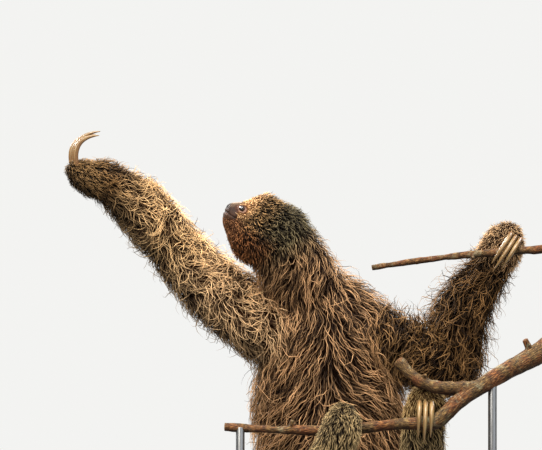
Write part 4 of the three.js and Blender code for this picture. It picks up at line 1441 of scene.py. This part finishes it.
def make_claw(paw, index):
    """One claw: a curved horn cone, high and narrow, rounded above and hollowed along its underside."""
    shape = CLAWS[paw]
    root, tip, row = (np.array(shape[k], float) for k in ("root", "tip", "row"))
    start = root + row * (index - 1)
    chord = (tip - root) * CLAW["lengths"][index]
    outward = np.array(shape["bulge"], float)
    outward = unit3(outward - chord * (outward @ chord) / (chord @ chord))
    aside = unit3(np.cross(chord, outward))
    u = np.linspace(CLAW["sunk"], 1, CLAW["rings"])
    centre = start + u[:, None] * chord + (shape["sag"] * 4 * u * (1 - u))[:, None] * outward
    way = unit(np.gradient(centre, axis=0))
    over = unit(np.cross(aside, way))
    over *= np.sign(over @ outward)[:, None]
    least, more, full = CLAW["slimmer"]
    taper = 1 - (1 - np.clip(u, 0, 1) ** CLAW["point"]) * (least + more * step_between(u, 0, full))
    depth, width = CLAW["neck"]
    neck = 1 - depth * bell(u - CLAW["sunk"], width)
    tall = (CLAW["half_height"] * (1 - taper) + CLAW["tip"] * taper) * neck
    wide = (CLAW["half_width"] * (1 - taper) + CLAW["tip"] * taper) * neck
    turn = np.linspace(0, 2 * math.pi, CLAW["sides"], endpoint=False)
    depth, width = CLAW["groove"]
    groove = 1 - depth * bell(np.angle(np.exp(1j * (turn + math.pi / 2))), width)
    height, number, shift = CLAW["ridges"]
    ridges = 1 + height * np.sin(number * turn[None] + shift * index) * (1 - taper[:, None])
    across = np.cos(turn)[None] * wide[:, None] * ridges
    upward = np.sin(turn)[None] * tall[:, None] * ridges * groove[None]
    rims = centre[:, None] + across[..., None] * aside + upward[..., None] * over[:, None]
    end = centre[-1] + way[-1] * CLAW["tip"]
    claw = tube(f"claw_{paw}_{index + 1}_horn", centre, rims, centre[0] - way[0], end)
    grain = [np.repeat(u, len(turn)), np.tile(np.cos(turn), len(u)), np.tile(np.sin(turn), len(u))]
    grain = np.vstack([np.stack(grain, 1), [u[0], 0, 0], [u[-1], 0, 0]])
    set_attribute(claw.data, "grain", "FLOAT_VECTOR", grain)
    return claw


def claw_material():
    """Claw horn: ivory keratin, polished by use, with brown streaks along it and a stained root."""
    made, tree, show = new_material("claw horn, worn smooth")
    grain = node(tree, "ShaderNodeAttribute", {"attribute_name": "grain"}).outputs["Vector"]
    along, _, over = node(tree, "ShaderNodeSeparateXYZ", Vector=grain).outputs
    place = node(tree, "ShaderNodeTexCoord").outputs["Object"]
    # The streaks run the length of the claw: the grain is drawn out along it, and shifted by its place.
    drawn = node(tree, "ShaderNodeVectorMath", TIMES, _0=grain, _1=(1.3, 2.8, 2.8))
    shift = node(tree, "ShaderNodeVectorMath", {"operation": "SCALE"}, _0=place, Scale=14.0)
    drawn = node(tree, "ShaderNodeVectorMath", ADD, _0=drawn, _1=shift)
    streak = node(tree, "ShaderNodeTexNoise", Vector=drawn, Scale=1.5, Detail=4.0, Roughness=0.6)
    fine = node(tree, "ShaderNodeTexNoise", Vector=drawn, Scale=6.0, Detail=3.0)
    ivory = node(tree, "ShaderNodeValToRGB", {"stops": [
        (0.3, "#6f5b36"), (0.55, "#978057"), (0.75, "#b3a078")]}, Fac=fine)
    brown = node(tree, "ShaderNodeValToRGB", {"stops": [
        (0.4, "#fff8ea"), (0.54, "#ac8560"), (0.66, "#5c3620")]}, Fac=streak)
    horn = node(tree, "ShaderNodeMix", DARKEN, _0=0.75, _6=ivory, _7=brown)
    under = node(tree, "ShaderNodeMapRange", Value=over, From_Min=-1.0, From_Max=0.2, To_Min=0.7,
                 To_Max=0.0)
    horn = node(tree, "ShaderNodeMix", BLEND, _0=under, _6=horn, _7=linear("#6b4129"))
    rooted = node(tree, "ShaderNodeMapRange", Value=along, From_Max=0.3, To_Min=0.6, To_Max=0.0)
    horn = node(tree, "ShaderNodeMix", BLEND, _0=rooted, _6=horn, _7=linear("#5c3a20"))
    bump = node(tree, "ShaderNodeBump", Strength=0.4, Distance=0.0003, Height=fine)
    show(node(tree, "ShaderNodeBsdfPrincipled", Base_Color=horn, Roughness=0.36, IOR=1.54,
              Specular_IOR_Level=0.4, Subsurface_Weight=0.1, Subsurface_Scale=0.002, Normal=bump))
    return made


# Each length of branch: its radius at both ends, and the line through its middle.
BRANCHES = {
    "perch_limb": {"radius": (5.4, 14.5), "line": [
        (-168, -132, 336), (-77, -137, 332), (-6, -142, 333), (77, -149, 341), (122, -150, 344),
        (158, -146, 374), (217, -126, 411), (276, -98, 443), (350, -56, 516)]},
    "perch_fork": {"radius": (9.6, 8), "line": [
        (186, -139, 391), (150, -142, 390), (118, -140, 393), (94, -132, 405), (72, -120, 427)]},
    "perch_twig": {"radius": (6.8, 4.4), "line": [
        (338, -63, 503), (328, -44, 552), (300, -28, 579), (262, -14, 580), (224, -9, 577),
        (169, -6, 573), (77, 4, 561), (38, 8, 555)]},
}
STUBS = [  # small cut side twigs: on which branch, how far along it, which way, length and radius
    ("perch_limb", 0.16, (0.2, -0.4, 1), 9, 2.6), ("perch_limb", 0.78, (-0.5, -0.3, 1), 13, 4.2),
    ("perch_twig", 0.3, (-0.2, -0.3, 1), 8, 2.2), ("perch_twig", 0.62, (0.2, -0.8, -0.6), 5, 2.0),
    ("perch_fork", 0.7, (0.6, -0.6, 0.5), 7, 2.8),
]
BRANCH_STEP = 4.0
KNOTS = ((0.07, 23), (0.05, 41))  # swellings along a branch: height over its radius, and how close
BARK_VOXEL = 1.25
LIKELY_SIDE = [0.1, 0.3, 1.0]  # no branch runs this way, so a side can be taken across it
# The bark's relief: cracks drawn out along the branch, lumps and slow waves, then narrow rings.
# Each has its size, its seed and its height in millimetres.
CRACKS = {"size": 2.6, "seed": 31, "waves": 9, "height": 0.16, "drawn": [0.35, 1, 1]}
LUMPS = ((9, 32, 0.28), (28, 33, 0.4))
RINGS = {"size": 33, "seed": 35, "height": 0.35, "width": 0.16}
SAWN = {"depth": 1.1, "inside": 0.9}
GROWN_IN = "perch_fork"  # its ends are not sawn flat
GRAIN_UNIT = 0.01  # the grain attribute counts hundreds of millimetres


def branch_line(name):
    """Places along a branch and its radius at each."""
    shape = BRANCHES[name]
    centre = curve_through([[*place, 0] for place in shape["line"]], BRANCH_STEP)[:, :3]
    u = np.linspace(0, 1, len(centre))
    (height, number), (small, close) = KNOTS
    knots = 1 + height * np.sin(number * u + len(shape["line"])) + small * np.sin(close * u)
    first, last = shape["radius"]
    return centre, (first + (last - first) * step_between(u, 0, 1)) * knots


def sides_of(way):
    """Two directions across each of the ways given."""
    side = unit(np.cross(way, LIKELY_SIDE))
    return side, np.cross(side, way)


def rod_of_wood(name, centre, radius, sides=20):
    """A closed round tube along a line."""
    side, over = sides_of(unit(np.gradient(centre, axis=0)))
    turn = np.linspace(0, 2 * math.pi, sides, endpoint=False)[None, :, None]
    round_it = np.cos(turn) * side[:, None] - np.sin(turn) * over[:, None]
    return tube(name, centre, centre[:, None] + radius[:, None, None] * round_it, centre[0], centre[-1])


def grow_together(lines):
    """The branches and their stubs as one smooth closed mesh."""
    parts = [rod_of_wood(name + "_core", *line) for name, line in lines.items()]
    for name, along, way, length, radius in STUBS:
        centre, girth = lines[name]
        place = int(along * (len(centre) - 1))
        steps = np.linspace(0, 1, 6)[:, None]
        stub = centre[place] + unit3(way) * (girth[place] + length) * steps
        parts.append(rod_of_wood("stub", stub, radius * (1.5 - 0.5 * steps[:, 0])))
    only(*parts)
    bpy.ops.object.join()
    perch = bpy.context.object
    perch.name = "perch"
    remesh = perch.modifiers.new("grown together", "REMESH")
    remesh.mode = "VOXEL"
    remesh.voxel_size = BARK_VOXEL * MM
    bpy.ops.object.modifier_apply(modifier=remesh.name)
    smooth = perch.modifiers.new("eased", "SMOOTH")
    smooth.iterations = 3
    smooth.factor = 0.5
    bpy.ops.object.modifier_apply(modifier=smooth.name)
    return perch


def make_perch():
    """The three lengths of branch as one, with knots, cut side twigs, cracked bark and sawn ends.

    The grain of each point is how far along its branch it is, how far round, and how near the bark.
    """
    lines = {name: branch_line(name) for name in BRANCHES}
    perch = grow_together(lines)
    points = points_of(perch.data)
    best = np.full(len(points), FAR)
    grain, out = np.zeros((len(points), 3)), np.zeros((len(points), 3))
    sawn = np.zeros(len(points))
    for order, (name, (centre, radius)) in enumerate(lines.items()):
        near = nearest_of(centre, points)
        way = unit(np.gradient(centre, axis=0))[near]
        off = points - centre[near]
        along = np.einsum("ij,ij->i", off, way)
        off -= way * along[:, None]
        reach = np.linalg.norm(off, axis=1)
        gap = reach - radius[near]
        mine = gap < best
        side, over = sides_of(way)
        turn = np.arctan2(np.einsum("ij,ij->i", off, over), np.einsum("ij,ij->i", off, side))
        apart = 900 * order
        values = [near * BRANCH_STEP + along + apart, turn * radius[near], reach / radius[near]]
        best[mine] = gap[mine]
        grain[mine] = np.stack(values, 1)[mine]
        out[mine] = (off / (reach[:, None] + TINY))[mine]
        at_start = (near == 0) & (along < SAWN["depth"])
        at_end = (near == len(centre) - 1) & (along > -SAWN["depth"])
        if name != GROWN_IN:
            sawn = np.where(mine, (at_start | at_end) & (reach < radius[near] - SAWN["inside"]), sawn)
    relief = waves(grain * CRACKS["drawn"], CRACKS["size"], CRACKS["seed"], CRACKS["waves"])
    relief = relief * CRACKS["height"]
    for size, seed, height in LUMPS:
        relief = relief + waves(points, size, seed) * height
    relief = relief + RINGS["height"] * bell(waves(points, RINGS["size"], RINGS["seed"]), RINGS["width"])
    points += out * (relief * (1 - sawn))[:, None]
    move_points(perch.data, points)
    shade_smooth(perch.data)
    set_attribute(perch.data, "grain", "FLOAT_VECTOR", grain * GRAIN_UNIT)
    set_attribute(perch.data, "sawn", "FLOAT", sawn.astype(float))
    # Painted shade: how far each point faces down, to darken the underside.
    set_attribute(perch.data, "under", "FLOAT", step_between(-out[:, 2], -0.05, 0.8) * (1 - sawn))
    return perch


def bark_material():
    """Shrub bark: thin, cracked along the branch, olive brown with bare red-brown patches and lichen."""
    made, tree, show = new_material("thin shrub bark with lichen")
    grain = node(tree, "ShaderNodeAttribute", {"attribute_name": "grain"}).outputs["Vector"]
    sawn = node(tree, "ShaderNodeAttribute", {"attribute_name": "sawn"}).outputs["Fac"]
    under = node(tree, "ShaderNodeAttribute", {"attribute_name": "under"}).outputs["Fac"]
    place = node(tree, "ShaderNodeTexCoord").outputs["Object"]
    # Fibres 1.4 mm apart and five times as long.
    drawn = node(tree, "ShaderNodeVectorMath", TIMES, _0=grain, _1=(0.2, 1.0, 0.0))
    fibre = node(tree, "ShaderNodeTexNoise", Vector=drawn, Scale=70.0, Detail=6.0, Roughness=0.68)
    # Bare patches about 24 mm across.
    cloud = node(tree, "ShaderNodeTexNoise", Vector=place, Scale=per_metre(24), Detail=4.0)
    olive = node(tree, "ShaderNodeValToRGB", {"stops": [
        (0.36, "#0c0703"), (0.47, "#33220f"), (0.57, "#614825"), (0.69, "#9c8354")]}, Fac=fibre)
    red = node(tree, "ShaderNodeValToRGB", {"stops": [
        (0.36, "#140803"), (0.47, "#43230f"), (0.57, "#71431f"), (0.69, "#a47746")]}, Fac=fibre)
    stripped = node(tree, "ShaderNodeMapRange", Value=cloud, From_Min=0.42, From_Max=0.62)
    bark = node(tree, "ShaderNodeMix", BLEND, _0=stripped, _6=olive, _7=red)
    # Pores 3.5 mm apart, as short pale dots.
    spots = node(tree, "ShaderNodeTexVoronoi", Vector=place, Scale=per_metre(3.5))
    pores = node(tree, "ShaderNodeMapRange", Value=spots.outputs["Distance"], From_Min=0.1, From_Max=0.22,
                 To_Min=0.35, To_Max=0.0)
    bark = node(tree, "ShaderNodeMix", BLEND, _0=pores, _6=bark, _7=linear("#8f7f62"))
    # Lichen in crusts about 30 mm across.
    growth = node(tree, "ShaderNodeTexNoise", Vector=place, Scale=per_metre(30), Detail=8.0,
                  Roughness=0.72, Distortion=0.8)
    lichen = node(tree, "ShaderNodeMapRange", Value=growth, From_Min=0.55, From_Max=0.66, To_Max=0.7)
    crust = node(tree, "ShaderNodeValToRGB", {"stops": [(0.35, "#6f6a4e"), (0.65, "#9c967c")]}, Fac=fibre)
    bark = node(tree, "ShaderNodeMix", BLEND, _0=lichen, _6=bark, _7=crust)
    # Painted shade: the underside is darker.
    bark = node(tree, "ShaderNodeMix", DARKEN, _0=under, _6=bark, _7=linear("#94826f"))
    # Year rings of the sawn ends, five and a half from the heart to the bark: 34 radians of a wave.
    reach = node(tree, "ShaderNodeSeparateXYZ", Vector=grain).outputs["Z"]
    years = node(tree, "ShaderNodeMath", TIMES, _0=reach, _1=34.0 / GRAIN_UNIT)
    years = node(tree, "ShaderNodeMath", SINE, _0=years)
    years = node(tree, "ShaderNodeMapRange", Value=years, From_Min=-1.0, From_Max=1.0)
    wood = node(tree, "ShaderNodeValToRGB", {"stops": [(0.2, "#8f6c42"), (0.8, "#b2905f")]}, Fac=years)
    colour = node(tree, "ShaderNodeMix", BLEND, _0=sawn, _6=bark, _7=wood)
    raised = node(tree, "ShaderNodeMath", TIMES, _0=pores, _1=0.5)
    relief = node(tree, "ShaderNodeMath", ADD, _0=fibre, _1=raised)
    bump = node(tree, "ShaderNodeBump", Strength=0.8, Distance=0.0009, Height=relief)
    show(node(tree, "ShaderNodeBsdfPrincipled", Base_Color=colour, Roughness=0.8, IOR=1.45,
              Specular_IOR_Level=0.3, Normal=bump))
    return made


# The board is drawn up from a cube of this size. Its upper edge is moulded and its lower one eased.
BASE = {"length": 480, "depth": 350, "height": 24, "corner": 40, "bevel": 4, "eased": 1.5,
        "cube": 1000.0}
ROD = {"radius": 6, "eased": 0.6}
RODS = {"left": {"x": -146, "y": -134, "axis": 336}, "right": {"x": 202, "y": -133, "axis": 404}}
FLANGE = {"radius": 20, "height": 5, "rise": 9, "inset": 9.0, "hole": 8, "eased": 0.9, "chord": 3}
SCREW = {"count": 3, "radius": 2.6, "height": 0.9, "ring": 14.2, "sunk": 0.15, "eased": 0.4, "head": 1.5,
         "rim": 0.9, "socket": -0.5}
CREASE = {"board": 35, "rod": 40, "flange": 35}  # degrees past which an edge stays sharp
UPRIGHT, FLAT = 0.9, 0.1  # how much of an edge's or a face's direction is up


def add_primitive(kind, name, place, **sizes):
    """A new primitive, in millimetres, alone selected and with its place in its mesh."""
    bpy.ops.object.select_all(action="DESELECT")
    sizes = {k: v * MM if isinstance(v, float) else v for k, v in sizes.items()}
    getattr(bpy.ops.mesh, f"primitive_{kind}_add")(location=Vector(place) * MM, **sizes)
    made = bpy.context.object
    made.name = made.data.name = name
    bpy.ops.object.transform_apply(location=True, rotation=True, scale=True)
    only(made)
    return made


def pick(made, kind, test):
    """Selects, in edit mode, the faces or edges of a piece whose middle and direction pass a test."""
    bpy.ops.mesh.select_mode(type=kind)
    bpy.ops.mesh.select_all(action="DESELECT")
    work = bmesh.from_edit_mesh(made.data)
    for part in (work.faces if kind == "FACE" else work.edges):
        if kind == "FACE":
            middle, way = part.calc_center_median(), part.normal
        else:
            middle = (part.verts[0].co + part.verts[1].co) / 2
            way = (part.verts[1].co - part.verts[0].co).normalized()
        part.select_set(bool(test(middle / MM, way)))
    work.select_flush_mode()
    bmesh.update_edit_mesh(made.data)


def bevel(offset, segments, **settings):
    """Bevels the chosen edges by so many millimetres."""
    bpy.ops.mesh.bevel(offset=offset * MM, segments=segments, affect="EDGES", **settings)


def pull_up(distance):
    """Extrudes the chosen faces upwards by so many millimetres."""
    bpy.ops.mesh.extrude_region_move(TRANSFORM_OT_translate={"value": (0, 0, distance * MM)})


def make_board():
    """The base: a solid board with round corners, a moulded upper edge and an eased lower one."""
    height, cube = BASE["height"], BASE["cube"]
    board = add_primitive("cube", "stand_board", (0, 0, height / 2), size=cube)
    bpy.ops.object.mode_set(mode="EDIT")
    bpy.ops.mesh.select_all(action="SELECT")
    bpy.ops.transform.resize(value=(BASE["length"] / cube, BASE["depth"] / cube, height / cube),
                             center_override=(0, 0, height / 2 * MM))
    pick(board, "EDGE", lambda middle, way: abs(way.z) > UPRIGHT)
    bevel(BASE["corner"], 14, clamp_overlap=False)
    pick(board, "EDGE", lambda middle, way: abs(way.z) < FLAT and middle.z > height - FLAT)
    bevel(BASE["bevel"], 6, profile=0.25, clamp_overlap=False)
    pick(board, "EDGE", lambda middle, way: abs(way.z) < FLAT and middle.z < FLAT)
    bevel(BASE["eased"], 3, clamp_overlap=False)
    bpy.ops.object.mode_set(mode="OBJECT")
    bpy.ops.object.shade_smooth_by_angle(angle=math.radians(CREASE["board"]))
    return board


def make_rod(side):
    """A rod from the base up into the underside of the branch, with an eased top."""
    shape = RODS[side]
    bottom, top = BASE["height"], shape["axis"]
    middle = (shape["x"], shape["y"], (bottom + top) / 2)
    rod = add_primitive("cylinder", f"stand_rod_{side}_turned", middle, vertices=48,
                        radius=float(ROD["radius"]), depth=float(top - bottom))
    bpy.ops.object.mode_set(mode="EDIT")
    pick(rod, "EDGE", lambda middle, way: abs(way.z) < FLAT)
    bevel(ROD["eased"], 2)
    bpy.ops.object.mode_set(mode="OBJECT")
    bpy.ops.object.shade_smooth_by_angle(angle=math.radians(CREASE["rod"]))
    return rod


def make_screw(place):
    """A small round-headed screw with a socket in it."""
    screw = add_primitive("cylinder", "screw", place, vertices=24, radius=SCREW["radius"],
                          depth=SCREW["height"])

    def on_top(middle, way):
        return way.z > UPRIGHT and math.hypot(middle.x - place[0], middle.y - place[1]) < SCREW["head"]

    bpy.ops.object.mode_set(mode="EDIT")
    pick(screw, "EDGE", lambda middle, way: abs(way.z) < FLAT and middle.z > place[2])
    bevel(SCREW["eased"], 2)
    pick(screw, "FACE", on_top)
    bpy.ops.mesh.inset(thickness=SCREW["rim"] * MM)
    pull_up(SCREW["socket"])
    bpy.ops.object.mode_set(mode="OBJECT")
    return screw


def make_flange(side):
    """The flange round the foot of a rod: a turned disc with a raised collar and three screws."""
    x, y = RODS[side]["x"], RODS[side]["y"]
    top = BASE["height"] + FLANGE["height"]
    middle = (x, y, BASE["height"] + FLANGE["height"] / 2)
    flange = add_primitive("cylinder", f"stand_flange_{side}_turned", middle, vertices=64,
                           radius=float(FLANGE["radius"]), depth=float(FLANGE["height"]))

    def on_rim(middle, way):
        off_x, off_y = middle.x - x, middle.y - y
        return (abs(way.z) < FLAT and middle.z > top - FLAT and math.hypot(off_x, off_y) > FLANGE["hole"]
                and abs(way.x * off_x + way.y * off_y) < FLANGE["chord"])

    bpy.ops.object.mode_set(mode="EDIT")
    pick(flange, "FACE", lambda middle, way: way.z > UPRIGHT)
    bpy.ops.mesh.inset(thickness=FLANGE["inset"] * MM)
    pull_up(FLANGE["rise"] - FLANGE["height"])
    pick(flange, "EDGE", on_rim)
    bevel(FLANGE["eased"], 3)
    bpy.ops.object.mode_set(mode="OBJECT")
    screws = []
    for k in range(SCREW["count"]):
        turn = math.radians(90 + 360 / SCREW["count"] * k)
        screws.append(make_screw((x + SCREW["ring"] * math.cos(turn), y + SCREW["ring"] * math.sin(turn),
                                  top + SCREW["height"] / 2 - SCREW["sunk"])))
    only(flange, *screws)
    bpy.ops.object.join()
    bpy.ops.object.shade_smooth_by_angle(angle=math.radians(CREASE["flange"]))
    return flange


def wood_material():
    """Oiled walnut: dark brown with straight grain along the board, and a soft sheen."""
    made, tree, show = new_material("oiled walnut")
    place = node(tree, "ShaderNodeTexCoord").outputs["Object"]
    drawn = node(tree, "ShaderNodeVectorMath", TIMES, _0=place, _1=(0.06, 1.0, 1.0))
    warped = node(tree, "ShaderNodeTexNoise", Vector=drawn, Scale=per_metre(45), Detail=3.0)
    bent = node(tree, "ShaderNodeVectorMath", {"operation": "MULTIPLY_ADD"}, _0=warped.outputs["Color"],
                _1=(0.02, 0.05, 0.05), _2=drawn)
    # Growth bands 22 mm apart, as a wave repeats 0.31 of its scale. Pores along the grain 1.1 mm apart.
    bands = node(tree, "ShaderNodeTexWave", {"bands_direction": "Y"}, Vector=bent, Scale=per_metre(70),
                 Distortion=6.0, Detail=3.0, Detail_Scale=0.8)
    pores = node(tree, "ShaderNodeTexNoise", Vector=drawn, Scale=per_metre(1.1), Detail=3.0)
    colour = node(tree, "ShaderNodeValToRGB", {"stops": [
        (0.0, "#261711"), (0.5, "#332017"), (1.0, "#40291e")]}, Fac=bands)
    fleck = node(tree, "ShaderNodeValToRGB", {"stops": [(0.35, "#6b5444"), (0.6, "#ffffff")]}, Fac=pores)
    colour = node(tree, "ShaderNodeMix", DARKEN, _0=0.55, _6=colour, _7=fleck)
    bump = node(tree, "ShaderNodeBump", Strength=0.25, Distance=0.0003, Height=pores)
    show(node(tree, "ShaderNodeBsdfPrincipled", Base_Color=colour, Roughness=0.42, IOR=1.48,
              Coat_Weight=0.15, Coat_Roughness=0.25, Normal=bump))
    return made


def steel_material():
    """Stainless steel, brushed: pale grey with fine rubbed lines that blur what it mirrors."""
    made, tree, show = new_material("stainless steel, brushed")
    place = node(tree, "ShaderNodeTexCoord").outputs["Object"]
    drawn = node(tree, "ShaderNodeVectorMath", TIMES, _0=place, _1=(1.0, 1.0, 0.03))
    # Rubbed lines 0.55 mm apart: coarser than real ones, so that they show.
    lines = node(tree, "ShaderNodeTexNoise", Vector=drawn, Scale=per_metre(0.55), Detail=2.0)
    rough = node(tree, "ShaderNodeMapRange", Value=lines, To_Min=0.26, To_Max=0.42)
    colour = node(tree, "ShaderNodeValToRGB", {"stops": [(0.3, "#8b8d8e"), (0.7, "#a9abac")]}, Fac=lines)
    bump = node(tree, "ShaderNodeBump", Strength=0.12, Distance=0.0001, Height=lines)
    show(node(tree, "ShaderNodeBsdfPrincipled", Base_Color=colour, Metallic=1.0, Roughness=rough,
              Normal=bump))
    return made


def make_hard_pieces():
    """Eyes, claws, perch and stand, each in its own material."""
    wet, horn, steel = eye_material(), claw_material(), steel_material()
    for name, side in (("eye_right", -1), ("eye_left", 1)):
        dressed(make_eye(name + "_ball", side), name, wet, name)
    for paw in CLAWS:
        for index in range(3):
            name = f"claw_{paw}_{index + 1}"
            dressed(make_claw(paw, index), name, horn, name)
    dressed(make_perch(), "perch_limb", bark_material(), *BRANCHES)
    dressed(make_board(), "stand_base", wood_material(), "stand_base")
    for side in RODS:
        dressed(make_flange(side), f"stand_flange_{side}", steel, f"stand_flange_{side}")
        dressed(make_rod(side), f"stand_rod_{side}", steel, f"stand_rod_{side}")


# ---- Putting it together ----

make_camera()
make_light()
make_floor()
field = make_grid()
GRIDS = [field, *[g.astype(np.float32) for g in np.gradient(field, GRID_STEP)]]
skin = make_skin(field)
dressed(skin, "head", skin_material(), *FLESH)
make_coat(skin, GRIDS)
make_hard_pieces()
